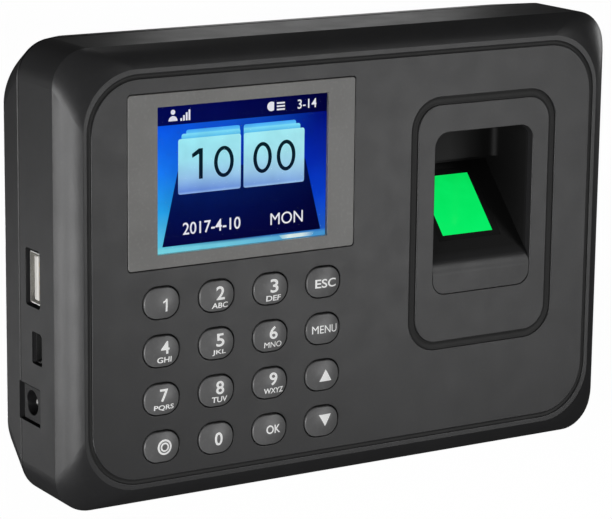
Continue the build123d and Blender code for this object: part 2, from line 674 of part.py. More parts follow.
with BuildPart() as finger_bay:
    # block that holds the bay
    with BuildSketch(across_bay(SLEEVE_HALF_W + BAY_WALL)):
        with BuildLine():
            Polyline(*BAY_BLOCK, close=True)
        make_face()
    extrude(amount=2 * (SLEEVE_HALF_W + BAY_WALL))
    # flange that the screws hold, standing off on the panel's bosses
    with BuildSketch(level(BAY_FLANGE_LEVEL)):
        with Locations((BAY_X, (BAY_FLANGE_TOP + BAY_FLANGE_BOTTOM) / 2)):
            RectangleRounded(2 * BAY_FLANGE_HALF_W, BAY_FLANGE_TOP - BAY_FLANGE_BOTTOM, BAY_FLANGE_R)
        with Locations(BAY_SCREWS):
            Circle(SCREW_CLEARANCE_R, mode=Mode.SUBTRACT)
    extrude(amount=-BAY_FLANGE_THICK)
    # lip that fills the foot of the mouth, almost flush with the panel
    with BuildSketch(level(LIP_LEVEL)):
        with Locations((BAY_X, (BAY_TOP + BAY_BOTTOM) / 2)):
            RectangleRounded(2 * SLEEVE_HALF_W, BAY_TOP - BAY_BOTTOM - 2 * BAY_GAP, BAY_R - BAY_GAP)
        with Locations((BAY_X, 0)):
            Rectangle(
                4 * SLEEVE_HALF_W,
                2 * BAY_TOP,
                align=(Align.CENTER, Align.MIN),
                mode=Mode.SUBTRACT,
            )
    extrude(amount=FRONT_INSIDE - LIP_LEVEL)
    # the bay itself
    with BuildSketch(across_bay(SLEEVE_HALF_W)):
        with BuildLine():
            Polyline(*BAY_AIR, close=True)
        make_face()
    extrude(amount=2 * SLEEVE_HALF_W, mode=Mode.SUBTRACT)
    # window for the sensor, through the slope
    with BuildSketch(slope_plane(-OVERRUN)):
        with Locations((0, (SENSOR_FRAME_FROM + SENSOR_FRAME_TO) / 2)):
            Rectangle(
                SENSOR_FRAME_W + SENSOR_PLAY,
                SENSOR_FRAME_TO - SENSOR_FRAME_FROM + SENSOR_PLAY,
            )
    extrude(amount=-SLOPE_WALL - 1.5 * OVERRUN, mode=Mode.SUBTRACT)
    # round the lip's top, the ceiling's corners and the lip's rim
    lip_top = nearest_edge(finger_bay, Axis.X, (BAY_X, -LIP_LEVEL, LIP_Z))
    fillet(lip_top, LIP_ROUND)
    ceiling_corners = [
        nearest_edge(finger_bay, Axis.Y, (BAY_X + sx * SLEEVE_HALF_W, -BAY_MID_LEVEL, BAY_TOP))
        for sx in (-1, 1)
    ]
    fillet(ceiling_corners, BAY_R - BAY_GAP)
    rear_corners = [
        nearest_edge(finger_bay, Axis.Z, (BAY_X + sx * SLEEVE_HALF_W, -BAY_REAR_LEVEL, BAY_REAR_MID_Z))
        for sx in (-1, 1)
    ]
    fillet(rear_corners, BAY_REAR_R)
write(finger_bay, "finger_bay")

with BuildPart() as sensor_frame:
    with BuildSketch(slope_plane(0)):
        with Locations((0, (SENSOR_FRAME_FROM + SENSOR_FRAME_TO) / 2)):
            RectangleRounded(SENSOR_FRAME_W, SENSOR_FRAME_TO - SENSOR_FRAME_FROM, SENSOR_FRAME_R)
        with Locations((0, GLASS_MIDDLE)):
            Rectangle(GLASS_W, GLASS_TO - GLASS_FROM, mode=Mode.SUBTRACT)
    extrude(amount=-SLOPE_WALL)
write(sensor_frame, "sensor_frame")

with BuildPart() as sensor_prism:
    with BuildSketch(across_bay(GLASS_W / 2 - PRISM_GAP)):
        with BuildLine():
            Polyline(
                slope_point(GLASS_FROM + PRISM_GAP, GLASS_SUNK),
                slope_point(GLASS_TO - PRISM_GAP, GLASS_SUNK),
                slope_point(GLASS_TO - PRISM_GAP, GLASS_SUNK + PRISM_RIM),
                slope_point(GLASS_MIDDLE + PRISM_FOOT, GLASS_SUNK + PRISM_DEPTH),
                slope_point(GLASS_MIDDLE - PRISM_FOOT, GLASS_SUNK + PRISM_DEPTH),
                slope_point(GLASS_FROM + PRISM_GAP, GLASS_SUNK + PRISM_RIM),
                close=True,
            )
        make_face()
    extrude(amount=GLASS_W - 2 * PRISM_GAP)
write(sensor_prism, "sensor_prism")

HOUSING_FROM = 7.8
HOUSING_TO = 30.2
HOUSING_DEPTH = 8.0
HOUSING_FRONT = slope_point(HOUSING_FROM, SLOPE_WALL)
HOUSING_TOP = slope_point(HOUSING_TO, SLOPE_WALL)
HOUSING_REAR = slope_point(HOUSING_TO, HOUSING_DEPTH)
HOUSING_FLOOR = -9.5
HOUSING_FRONT_Y = -26.0
HOUSING_OUTLINE = (
    HOUSING_FRONT,
    HOUSING_TOP,
    HOUSING_REAR,
    (HOUSING_REAR[0], HOUSING_FLOOR),
    (HOUSING_FRONT_Y, HOUSING_FLOOR),
)
HOUSING_ROOM = (
    slope_point(HOUSING_FROM + HOUSING_WALL, SLOPE_WALL),
    slope_point(HOUSING_TO - HOUSING_WALL, SLOPE_WALL),
    slope_point(HOUSING_TO - HOUSING_WALL, HOUSING_DEPTH - HOUSING_WALL / 2),
    (HOUSING_REAR[0] - HOUSING_WALL, HOUSING_REAR[1] - OVERRUN),
    (HOUSING_REAR[0] - HOUSING_WALL, HOUSING_FLOOR + HOUSING_WALL),
    (HOUSING_FRONT_Y + 2 * HOUSING_WALL, HOUSING_FLOOR + HOUSING_WALL),
)

with BuildPart() as sensor_housing:
    with BuildSketch(across_bay(HOUSING_HALF_W)):
        with BuildLine():
            Polyline(*HOUSING_OUTLINE, close=True)
        make_face()
    extrude(amount=2 * HOUSING_HALF_W)
    with BuildSketch(across_bay(HOUSING_HALF_W - HOUSING_WALL)):
        with BuildLine():
            Polyline(*HOUSING_ROOM, close=True)
        make_face()
    extrude(amount=2 * (HOUSING_HALF_W - HOUSING_WALL), mode=Mode.SUBTRACT)
write(sensor_housing, "sensor_housing")

CAMERA_BOARD_Y = HOUSING_REAR[0] - HOUSING_WALL
CAMERA_BOARD_Z = -1.0
CAMERA_BOARD = (17.0, 12.0)
SMALL_BOARD_THICK = 1.0
LENS_Z = -3.0
LENS_R = 3.0
LENS_LENGTH = 3.0
LENS_EDGE = 0.5
with BuildPart() as camera_board:
    with BuildSketch(Plane.XZ.offset(-CAMERA_BOARD_Y)):
        with Locations((BAY_X, CAMERA_BOARD_Z)):
            Rectangle(*CAMERA_BOARD)
    extrude(amount=SMALL_BOARD_THICK)
    with BuildSketch(Plane.XZ.offset(-CAMERA_BOARD_Y + SMALL_BOARD_THICK)):
        with Locations((BAY_X, LENS_Z)):
            Circle(LENS_R)
    extrude(amount=LENS_LENGTH)
    fillet(camera_board.faces().sort_by(Axis.Y)[0].edges(), LENS_EDGE)
write(camera_board, "camera_board")

LIGHT_BOARD_Y = -18.5
LIGHT_BOARD = (18.0, 6.0)
LED_PITCH = 5.0
LED_COUNT = 3
LED_SIZE = 2.8
LED_THICK = 1.2
with BuildPart() as light_board:
    with BuildSketch(Plane.XY.offset(HOUSING_FLOOR + HOUSING_WALL)):
        with Locations((BAY_X, LIGHT_BOARD_Y)):
            Rectangle(*LIGHT_BOARD)
    extrude(amount=SMALL_BOARD_THICK)
    with BuildSketch(Plane.XY.offset(HOUSING_FLOOR + HOUSING_WALL + SMALL_BOARD_THICK)):
        with Locations((BAY_X, LIGHT_BOARD_Y)):
            with GridLocations(LED_PITCH, 1, LED_COUNT, 1):
                Rectangle(LED_SIZE, LED_SIZE)
    extrude(amount=LED_THICK)
write(light_board, "light_board")

SOCKET_HEIGHT = 4.4
SENSOR_SOCKET_LEVEL = MAIN_BOARD_LEVEL - SOCKET_HEIGHT / 2
CABLE_W = 8.0
CABLE_THICK = 0.8
CABLE_BEND = 3.0
CABLE_ROUTE = (
    (BAY_X - HOUSING_HALF_W, -15.0),
    (21.5, -15.0),
    (16.5, -SENSOR_SOCKET_LEVEL),
    (10.5, -SENSOR_SOCKET_LEVEL),
)
with BuildPart() as sensor_cable:
    with BuildSketch(Plane.XY.offset(-CABLE_W / 2)):
        with BuildLine():
            FilletPolyline(*CABLE_ROUTE, radius=CABLE_BEND)
        trace(line_width=CABLE_THICK)
    extrude(amount=CABLE_W)
write(sensor_cable, "sensor_cable")

# ---------------------------------------------------------------- main board
with BuildPart() as main_board:
    with BuildSketch(level(MAIN_BOARD_LEVEL)):
        with Locations(((MAIN_BOARD_LEFT + MAIN_BOARD_RIGHT) / 2, 0)):
            RectangleRounded(MAIN_BOARD_RIGHT - MAIN_BOARD_LEFT, 2 * MAIN_BOARD_HALF_H, BOARD_R)
        with Locations(MAIN_SCREWS):
            Circle(SCREW_CLEARANCE_R, mode=Mode.SUBTRACT)
    extrude(amount=BOARD_THICK)
write(main_board, "main_board")

# centre X and Z, width, height and thickness of each chip
CHIPS = (
    (-40, 22, 14, 14, 1.4),
    (-14, 22, 10, 10, 1.2),
    (-40, -18, 8, 12, 1.2),
    (-22, -30, 6, 5, 1.6),
)
with BuildPart() as main_chips:
    for x, z, width, height, thick in CHIPS:
        with BuildSketch(level(MAIN_BOARD_LEVEL)):
            with Locations((x, z)):
                Rectangle(width, height)
        extrude(amount=-thick)
write(main_chips, "main_chips")

SPEAKER_WIRE_Z = (-14.0, -15.6)
# centre X and Z, width and height of the sensor's and the speaker's sockets
BACK_SOCKETS = ((7.5, 0.0, 6.0, 11.0), (2.5, -14.8, 6.0, 7.0))
FLEX_SOCKET = (FLEX_W + 4, 6.0)
FLEX_SOCKET_HEIGHT = 1.6
with BuildPart() as board_sockets:
    with BuildSketch(level(MAIN_BOARD_LEVEL)):
        for x, z, width, height in BACK_SOCKETS:
            with Locations((x, z)):
                Rectangle(width, height)
    extrude(amount=-SOCKET_HEIGHT)
    with BuildSketch(level(MAIN_BOARD_LEVEL + BOARD_THICK)):
        with Locations((WINDOW_X, FLEX_END_Z - FLEX_SOCKET[1] / 2)):
            Rectangle(*FLEX_SOCKET)
    extrude(amount=FLEX_SOCKET_HEIGHT)
write(board_sockets, "board_sockets")

COIN_X = -10.0
COIN_Z = -6.0
COIN_R = 6.25
COIN_THICK = 3.2
COIN_EDGE = 0.3
HOLDER_SIZE = 17.0
HOLDER_R = 3.0
HOLDER_HEIGHT = 4.6
HOLDER_FLOOR = 1.2
with BuildPart() as coin_cell_holder:
    with BuildSketch(level(MAIN_BOARD_LEVEL)):
        with Locations((COIN_X, COIN_Z)):
            RectangleRounded(HOLDER_SIZE, HOLDER_SIZE, HOLDER_R)
    extrude(amount=-HOLDER_HEIGHT)
    with BuildSketch(level(MAIN_BOARD_LEVEL - HOLDER_HEIGHT)):
        with Locations((COIN_X, COIN_Z)):
            Circle(COIN_R + COIN_PLAY)
    extrude(amount=HOLDER_HEIGHT - HOLDER_FLOOR, mode=Mode.SUBTRACT)
write(coin_cell_holder, "coin_cell_holder")

with BuildPart() as coin_cell:
    with BuildSketch(level(MAIN_BOARD_LEVEL - HOLDER_FLOOR)):
        with Locations((COIN_X, COIN_Z)):
            Circle(COIN_R)
    extrude(amount=-COIN_THICK)
    fillet(coin_cell.faces().filter_by(Plane.XZ).edges(), COIN_EDGE)
write(coin_cell, "coin_cell")

# ---------------------------------------------------------------- ports
with BuildPart() as usb_a_shell:
    with BuildSketch(side(USB_SHELL_X)):
        with Locations((-USB_LEVEL, USB_Z)):
            RectangleRounded(*USB_SHELL, USB_SHELL_R)
    extrude(amount=USB_SHELL_LENGTH)
    with BuildSketch(side(USB_SHELL_X)):
        with Locations((-USB_LEVEL, USB_Z)):
            RectangleRounded(*USB_ROOM, USB_SHELL_R - USB_SHEET)
    extrude(amount=USB_SHELL_LENGTH - USB_SHEET, mode=Mode.SUBTRACT)
write(usb_a_shell, "usb_a_shell")

with BuildPart() as usb_a_tongue:
    with BuildSketch(side(USB_TONGUE_X)):
        with Locations((-USB_TONGUE_LEVEL, USB_Z)):
            Rectangle(*USB_TONGUE)
    extrude(amount=USB_TONGUE_LENGTH)
    with BuildSketch(side(USB_TONGUE_ROOT_X)) as usb_block:
        with Locations((-USB_LEVEL, USB_Z)):
            Rectangle(USB_ROOM[0] - 2 * PORT_PLAY, USB_ROOM[1] - 2 * PORT_PLAY)
        fillet(usb_block.vertices(), USB_BLOCK_R)
    extrude(amount=USB_SHELL_X + USB_SHELL_LENGTH - USB_SHEET - PORT_PLAY - USB_TONGUE_ROOT_X)
    chamfer(usb_a_tongue.faces().sort_by(Axis.X)[0].edges(), USB_TONGUE_EDGE)
write(usb_a_tongue, "usb_a_tongue")


def mini_usb_outline(inset):
    """Half-tapered mouth of a mini port, narrower towards the panel."""
    depth, height = MINI_SHELL
    half = height / 2 - inset
    shoulder = half - MINI_SHOULDER
    front = -MINI_LEVEL - depth / 2 + inset
    back = -MINI_LEVEL + depth / 2 - inset
    taper = front + MINI_TAPER
    return (
        (front, -shoulder),
        (front, shoulder),
        (taper, half),
        (back, half),
        (back, -half),
        (taper, -half),
    )


with BuildPart() as mini_usb_shell:
    with BuildSketch(side(MINI_SHELL_X)):
        with Locations((0, MINI_Z)):
            Polygon(*mini_usb_outline(0), align=None)
    extrude(amount=MINI_SHELL_LENGTH)
    with BuildSketch(side(MINI_SHELL_X)):
        with Locations((0, MINI_Z)):
            Polygon(*mini_usb_outline(USB_SHEET), align=None)
    extrude(amount=MINI_SHELL_LENGTH - USB_SHEET, mode=Mode.SUBTRACT)
write(mini_usb_shell, "mini_usb_shell")

mini_block_end = MINI_SHELL_X + MINI_SHELL_LENGTH - USB_SHEET - PORT_PLAY
with BuildPart() as mini_usb_tongue:
    with BuildSketch(side(MINI_TONGUE_X)):
        with Locations((-MINI_LEVEL - 0.2, MINI_Z)):
            Rectangle(*MINI_TONGUE)
    extrude(amount=MINI_TONGUE_LENGTH)
    with BuildSketch(side(MINI_TONGUE_X + MINI_TONGUE_LENGTH)):
        with Locations((-MINI_LEVEL + 0.5, MINI_Z)):
            Rectangle(*MINI_BLOCK)
    extrude(amount=mini_block_end - MINI_TONGUE_X - MINI_TONGUE_LENGTH)
write(mini_usb_tongue, "mini_usb_tongue")

JACK_FACE_X = -HALF_W + JACK_FACE_SUNK
with BuildPart() as dc_jack:
    with BuildSketch(side(JACK_FACE_X)):
        with Locations((-(JACK_BODY_FRONT + JACK_BODY_BACK) / 2, JACK_MIDDLE)):
            Rectangle(JACK_BODY_FRONT - JACK_BODY_BACK, JACK_BODY_TOP - JACK_BODY_BOTTOM)
    extrude(amount=JACK_LENGTH)
    with BuildSketch(side(JACK_FACE_X)):
        with Locations((-JACK_LEVEL, JACK_Z)):
            Circle(JACK_HOLE_R)
    extrude(amount=JACK_HOLE_DEPTH, mode=Mode.SUBTRACT)
    fillet(dc_jack.faces().sort_by(Axis.X)[0].edges(), JACK_EDGE)
write(dc_jack, "dc_jack")

with BuildPart() as dc_jack_pin:
    with BuildSketch(side(JACK_FACE_X + JACK_PIN_SUNK)):
        with Locations((-JACK_LEVEL, JACK_Z)):
            Circle(JACK_PIN_R)
    extrude(amount=JACK_HOLE_DEPTH - JACK_PIN_SUNK)
    fillet(dc_jack_pin.faces().sort_by(Axis.X)[0].edges(), JACK_PIN_EDGE)
write(dc_jack_pin, "dc_jack_pin")

# ---------------------------------------------------------------- back shell
BACK_SEAM_LEVEL = SEAM_LEVEL - SEAM_GAP / 2
BACK_BOSS_LEVEL = SEAM_LEVEL + 0.25
RECESS_FLOOR_INSIDE = RECESS_LEVEL + WALL
TONGUE_ROOT_LEVEL = SEAM_LEVEL - 2.5
LIP_TOP_LEVEL = SEAM_LEVEL + 1.6
LIP_CLEARANCE = 0.12
LIP_THICK = 1.2
GRILLE_RINGS = ((0, 1), (3.0, 6), (6.0, 12), (9.0, 18))

with BuildPart() as back_shell:
    # tapering tray
    with BuildSketch(level(BACK_SEAM_LEVEL)):
        RectangleRounded(2 * (HALF_W - SEAM_EDGE), 2 * (HALF_H - SEAM_EDGE), CORNER_R - SEAM_EDGE)
    with BuildSketch(level(BACK_SEAM_LEVEL - SEAM_EDGE)):
        RectangleRounded(2 * HALF_W, 2 * HALF_H, CORNER_R)
    with BuildSketch(level(BACK_LEVEL)):
        RectangleRounded(2 * BACK_HALF_W, 2 * BACK_HALF_H, BACK_R)
    loft(ruled=True)
    fillet(back_shell.faces().sort_by(Axis.Y)[-1].edges(), BACK_EDGE)
    # hollow inside
    with BuildSketch(level(BACK_SEAM_LEVEL)):
        RectangleRounded(2 * (HALF_W - WALL), 2 * (HALF_H - WALL), INNER_R)
    with BuildSketch(level(BACK_LEVEL + WALL)):
        RectangleRounded(2 * (BACK_HALF_W - BACK_WALL), 2 * (BACK_HALF_H - BACK_WALL), BACK_R - WALL)
    loft(ruled=True, mode=Mode.SUBTRACT)
    # tongue that enters the front shell, cut away round the power jack
    with BuildSketch(level(TONGUE_ROOT_LEVEL)):
        outer_w = 2 * (HALF_W - WALL - LIP_CLEARANCE)
        outer_h = 2 * (HALF_H - WALL - LIP_CLEARANCE)
        RectangleRounded(outer_w, outer_h, INNER_R - LIP_CLEARANCE)
        RectangleRounded(
            outer_w - 2 * LIP_THICK,
            outer_h - 2 * LIP_THICK,
            INNER_R - LIP_CLEARANCE - LIP_THICK,
            mode=Mode.SUBTRACT,
        )
        with Locations((-HALF_W, JACK_MIDDLE)):
            Rectangle(*JACK_CUT, mode=Mode.SUBTRACT)
    extrude(amount=LIP_TOP_LEVEL - TONGUE_ROOT_LEVEL)
    # raised floor over the wall plate
    with BuildSketch(level(BACK_LEVEL + WALL / 2)):
        with Locations((0, (RECESS_TOP + RECESS_BOTTOM) / 2)):
            Rectangle(2 * (RECESS_HALF_W + WALL), RECESS_TOP - RECESS_BOTTOM + 2 * WALL)
    extrude(amount=RECESS_FLOOR_INSIDE - BACK_LEVEL - WALL / 2)
    # case screw bosses and the block that takes the locking screw
    with BuildSketch(level(BACK_LEVEL + WALL / 2)):
        with Locations(CASE_SCREWS):
            Circle(BACK_BOSS_R)
    extrude(amount=BACK_BOSS_LEVEL - BACK_LEVEL - WALL / 2)
    with BuildSketch(level(BACK_LEVEL + WALL / 2)):
        with Locations((0, RECESS_BOTTOM - LOCK_BLOCK[1] / 2)):
            Rectangle(*LOCK_BLOCK)
    extrude(amount=LOCK_LEVEL + LOCK_BLOCK_REACH - BACK_LEVEL - WALL / 2)
    # recess for the wall plate, open to the back
    with BuildSketch(level(0)):
        with Locations((0, (RECESS_TOP + RECESS_BOTTOM) / 2)):
            RectangleRounded(2 * RECESS_HALF_W, RECESS_TOP - RECESS_BOTTOM, RECESS_R)
    extrude(amount=RECESS_LEVEL, mode=Mode.SUBTRACT)
    # slots for the plate's hooks, and one for its locking tab
    with BuildSketch(level(0)):
        with Locations((-HOOK_X, HOOK_SLOT_Z), (HOOK_X, HOOK_SLOT_Z)):
            Rectangle(*HOOK_SLOT)
    extrude(amount=RECESS_FLOOR_INSIDE + OVERRUN, mode=Mode.SUBTRACT)
    with BuildSketch(level(0)):
        with Locations((0, RECESS_BOTTOM)):
            Rectangle(*TAB_SLOT, align=(Align.CENTER, Align.MIN))
    extrude(amount=RECESS_FLOOR_INSIDE + OVERRUN, mode=Mode.SUBTRACT)
    # case screws, sunk from the back
    with BuildSketch(level(0)):
        with Locations(CASE_SCREWS):
            Circle(CASE_HOLE_R)
    extrude(amount=SEAM_LEVEL + 2 * OVERRUN, mode=Mode.SUBTRACT)
    with BuildSketch(level(0)):
        with Locations(CASE_SCREWS):
            Circle(SUNK_HEAD_R)
    extrude(amount=CASE_SCREW_SEAT, mode=Mode.SUBTRACT)
    # speaker grille
    for ring_radius, count in GRILLE_RINGS:
        with BuildSketch(level(0)):
            with Locations((SPEAKER_X, SPEAKER_Z)):
                with PolarLocations(ring_radius, count):
                    Circle(GRILLE_HOLE_R)
        extrude(amount=BACK_LEVEL + WALL + OVERRUN, mode=Mode.SUBTRACT)
    # rim cut back under the power jack
    with BuildSketch(side(-HALF_W - 1)):
        with Locations((-JACK_NOTCH_BACK, JACK_NOTCH_TOP)):
            Rectangle(
                SEAM_LEVEL - JACK_NOTCH_BACK,
                JACK_NOTCH_TOP - JACK_NOTCH_BOTTOM,
                align=(Align.MAX, Align.MAX),
            )
    extrude(amount=WALL + JACK_NOTCH_OVERCUT, mode=Mode.SUBTRACT)
    # passage for the locking screw, up from the underside
    with BuildSketch(Plane.XY.offset(RECESS_BOTTOM + OVERRUN)):
        with Locations((0, -LOCK_LEVEL)):
            Circle(LOCK_HOLE_R)
    extrude(amount=-2 * LOCK_BLOCK[1], mode=Mode.SUBTRACT)
    with BuildSketch(Plane.XY.offset(LOCK_HEAD_SEAT)):
        with Locations((0, -LOCK_LEVEL)):
            Circle(SUNK_HEAD_R)
    extrude(amount=-2 * LOCK_BLOCK[1], mode=Mode.SUBTRACT)
write(back_shell, "back_shell")

with BuildPart() as case_screws:
    with BuildSketch(level(CASE_SCREW_SEAT)):
        with Locations(CASE_SCREWS):
            Circle(BIG_HEAD_R)
    extrude(amount=-BIG_HEAD_THICK)
    fillet(case_screws.faces().filter_by(Plane.XZ).group_by(Axis.Y)[-1].edges(), BIG_HEAD_ROUND)
    with BuildSketch(level(CASE_SCREW_SEAT - BIG_HEAD_THICK)):
        with Locations(CASE_SCREWS):
            Rectangle(*BIG_CROSS)
            Rectangle(*reversed(BIG_CROSS))
    extrude(amount=BIG_CROSS_DEPTH, mode=Mode.SUBTRACT)
    with BuildSketch(level(CASE_SCREW_SEAT)):
        with Locations(CASE_SCREWS):
            Circle(CASE_SHANK_R)
    extrude(amount=CASE_SHANK_LENGTH)
write(case_screws, "case_screws")

# ---------------------------------------------------------------- speaker
with BuildPart() as speaker:
    with BuildSketch(level(SPEAKER_LEVEL)):
        with Locations((SPEAKER_X, SPEAKER_Z)):
            Circle(SPEAKER_R)
    extrude(amount=SPEAKER_RIM)
    with BuildSketch(level(SPEAKER_LEVEL + SPEAKER_RIM)):
        with Locations((SPEAKER_X, SPEAKER_Z)):
            Circle(SPEAKER_MAGNET_R)
    extrude(amount=SPEAKER_THICK - SPEAKER_RIM)
    with BuildSketch(level(SPEAKER_LEVEL)):
        with Locations((SPEAKER_X, SPEAKER_Z)):
            Circle(SPEAKER_R - SPEAKER_EDGE)
    extrude(amount=SPEAKER_CONE_DEPTH, mode=Mode.SUBTRACT)
write(speaker, "speaker")

WIRE_R = 0.5
WIRE_LEVEL = 9.0
WIRE_BEND = 2.2
WIRE_ROUTE = (
    (62.0, -WIRE_LEVEL),
    (14.0, -WIRE_LEVEL),
    (9.5, -SENSOR_SOCKET_LEVEL),
    (5.5, -SENSOR_SOCKET_LEVEL),
)
with BuildPart() as speaker_wires:
    for wire_z in SPEAKER_WIRE_Z:
        with BuildLine(Plane.XY.offset(wire_z)) as route:
            FilletPolyline(*WIRE_ROUTE, radius=WIRE_BEND)
        with BuildSketch(Plane(origin=route.line @ 0, z_dir=route.line % 0)):
            Circle(WIRE_R)
        sweep(path=route.line)
write(speaker_wires, "speaker_wires")

# ---------------------------------------------------------------- wall plate
with BuildPart() as wall_plate:
    with BuildSketch(level(0)):
        with Locations((0, (PLATE_TOP + PLATE_BOTTOM) / 2)):
            RectangleRounded(2 * PLATE_HALF_W, PLATE_TOP - PLATE_BOTTOM, PLATE_R)
        with GridLocations(PLATE_HOLES_X, PLATE_HOLES_Z, 2, 2):
            Circle(PLATE_HOLE_R, mode=Mode.SUBTRACT)
        with GridLocations(BOX_HOLES_X, 1, 2, 1):
            Circle(PLATE_HOLE_R, mode=Mode.SUBTRACT)
    extrude(amount=PLATE_THICK)
    # hooks that reach through the back shell's floor and turn up behind it
    hook_reach = RECESS_FLOOR_INSIDE + HOOK_PLAY + PLATE_THICK
    hook_foot_z = HOOK_Z - PLATE_THICK / 2
    with BuildSketch(level(0)):
        with Locations((-HOOK_X, HOOK_Z), (HOOK_X, HOOK_Z)):
            Rectangle(HOOK_W, PLATE_THICK)
    extrude(amount=hook_reach)
    with BuildSketch(level(hook_reach)):
        with Locations((-HOOK_X, hook_foot_z), (HOOK_X, hook_foot_z)):
            Rectangle(HOOK_W, HOOK_HEIGHT, align=(Align.CENTER, Align.MIN))
    extrude(amount=-PLATE_THICK)
    # locking tab, bent forwards at the foot
    with BuildSketch(level(0)):
        with Locations((0, PLATE_BOTTOM)):
            Rectangle(TAB_W, PLATE_THICK, align=(Align.CENTER, Align.MIN))
    extrude(amount=LOCK_LEVEL + TAB_REACH)
    with BuildSketch(Plane.XY.offset(PLATE_BOTTOM - OVERRUN)):
        with Locations((0, -LOCK_LEVEL)):
            Circle(LOCK_SCREW_R + THREAD_PLAY)
    extrude(amount=PLATE_THICK + 2 * OVERRUN, mode=Mode.SUBTRACT)
write(wall_plate, "wall_plate")

with BuildPart() as lock_screw:
    with BuildSketch(Plane.XY.offset(LOCK_HEAD_SEAT)):
        with Locations((0, -LOCK_LEVEL)):
            Circle(BIG_HEAD_R)
    extrude(amount=-LOCK_HEAD_THICK)
    fillet(lock_screw.faces().sort_by(Axis.Z)[0].edges(), BIG_HEAD_ROUND)
    with BuildSketch(Plane.XY.offset(LOCK_HEAD_SEAT - LOCK_HEAD_THICK)):
        with Locations((0, -LOCK_LEVEL)):
            Rectangle(*BIG_CROSS)
            Rectangle(*reversed(BIG_CROSS))
    extrude(amount=BIG_CROSS_DEPTH, mode=Mode.SUBTRACT)
    with BuildSketch(Plane.XY.offset(LOCK_HEAD_SEAT)):
        with Locations((0, -LOCK_LEVEL)):
            Circle(LOCK_SCREW_R)
    extrude(amount=LOCK_SHANK_LENGTH)
write(lock_screw, "lock_screw")
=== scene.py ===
import json
import math

import bmesh
import bpy
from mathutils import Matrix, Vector
from mathutils.bvhtree import BVHTree


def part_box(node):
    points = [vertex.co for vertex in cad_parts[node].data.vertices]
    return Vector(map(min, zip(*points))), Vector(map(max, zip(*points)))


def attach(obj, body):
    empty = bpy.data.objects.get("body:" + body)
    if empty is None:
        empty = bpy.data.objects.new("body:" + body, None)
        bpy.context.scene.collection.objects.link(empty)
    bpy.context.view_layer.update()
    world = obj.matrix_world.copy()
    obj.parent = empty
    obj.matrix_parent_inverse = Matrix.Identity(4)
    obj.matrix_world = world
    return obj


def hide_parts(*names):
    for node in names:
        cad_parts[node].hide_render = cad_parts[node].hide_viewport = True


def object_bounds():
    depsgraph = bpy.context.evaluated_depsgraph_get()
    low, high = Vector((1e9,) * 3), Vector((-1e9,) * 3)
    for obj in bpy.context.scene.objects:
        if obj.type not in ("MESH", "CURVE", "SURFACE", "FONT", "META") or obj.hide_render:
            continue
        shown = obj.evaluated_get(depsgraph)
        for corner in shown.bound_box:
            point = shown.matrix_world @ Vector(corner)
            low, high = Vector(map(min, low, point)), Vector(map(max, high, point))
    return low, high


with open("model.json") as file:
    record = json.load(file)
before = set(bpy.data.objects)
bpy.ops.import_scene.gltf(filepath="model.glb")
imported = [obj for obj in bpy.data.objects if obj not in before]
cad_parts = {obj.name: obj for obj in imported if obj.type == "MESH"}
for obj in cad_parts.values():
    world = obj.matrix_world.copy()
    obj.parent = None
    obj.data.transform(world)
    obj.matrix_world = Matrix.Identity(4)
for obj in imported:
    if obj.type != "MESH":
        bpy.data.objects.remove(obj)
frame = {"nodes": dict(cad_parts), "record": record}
cad_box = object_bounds()
nodes = frame["nodes"]

# The looks of a fingerprint scanner terminal. Lengths are in metres, in the frame of the
# CAD part: X to the right, Z up, the front faces -Y. Keys ride on bodies of their own.

MM = 0.001
TERMINAL = "terminal"
FRONT_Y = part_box("front_shell")[0].y
COLLECTION = bpy.context.scene.collection


# ---------------------------------------------------------------- camera
AZIMUTH = math.radians(-31.734)
ELEVATION = math.radians(12.790)
ROLL = math.radians(0.672)
TARGET = Vector((-13.80 * MM, FRONT_Y, 0.612 * MM))
DISTANCE = 698.83 * MM
LENS = 162.35

back = Vector(
    (
        math.sin(AZIMUTH) * math.cos(ELEVATION),
        -math.cos(AZIMUTH) * math.cos(ELEVATION),
        math.sin(ELEVATION),
    )
)
level_right = Vector((0, 0, 1)).cross(back).normalized()
level_up = back.cross(level_right)
right = level_right * math.cos(ROLL) + level_up * math.sin(ROLL)
up = level_up * math.cos(ROLL) - level_right * math.sin(ROLL)

camera = bpy.data.objects.new("camera", bpy.data.cameras.new("camera"))
camera.data.lens = LENS
camera.data.sensor_width = 36
camera.data.clip_start = 0.01
camera.data.clip_end = 50
COLLECTION.objects.link(camera)
camera_axes = camera.matrix_world.copy()
for row in range(3):
    camera_axes[row][0] = right[row]
    camera_axes[row][1] = up[row]
    camera_axes[row][2] = back[row]
    camera_axes[row][3] = (TARGET + back * DISTANCE)[row]
camera.matrix_world = camera_axes
bpy.context.scene.camera = camera


# ---------------------------------------------------------------- materials
def linear(tone):
    """Linear value of an 8-bit display tone."""
    c = tone / 255
    return c / 12.92 if c <= 0.04045 else ((c + 0.055) / 1.055) ** 2.4


def colour(r, g, b):
    return (linear(r), linear(g), linear(b), 1.0)


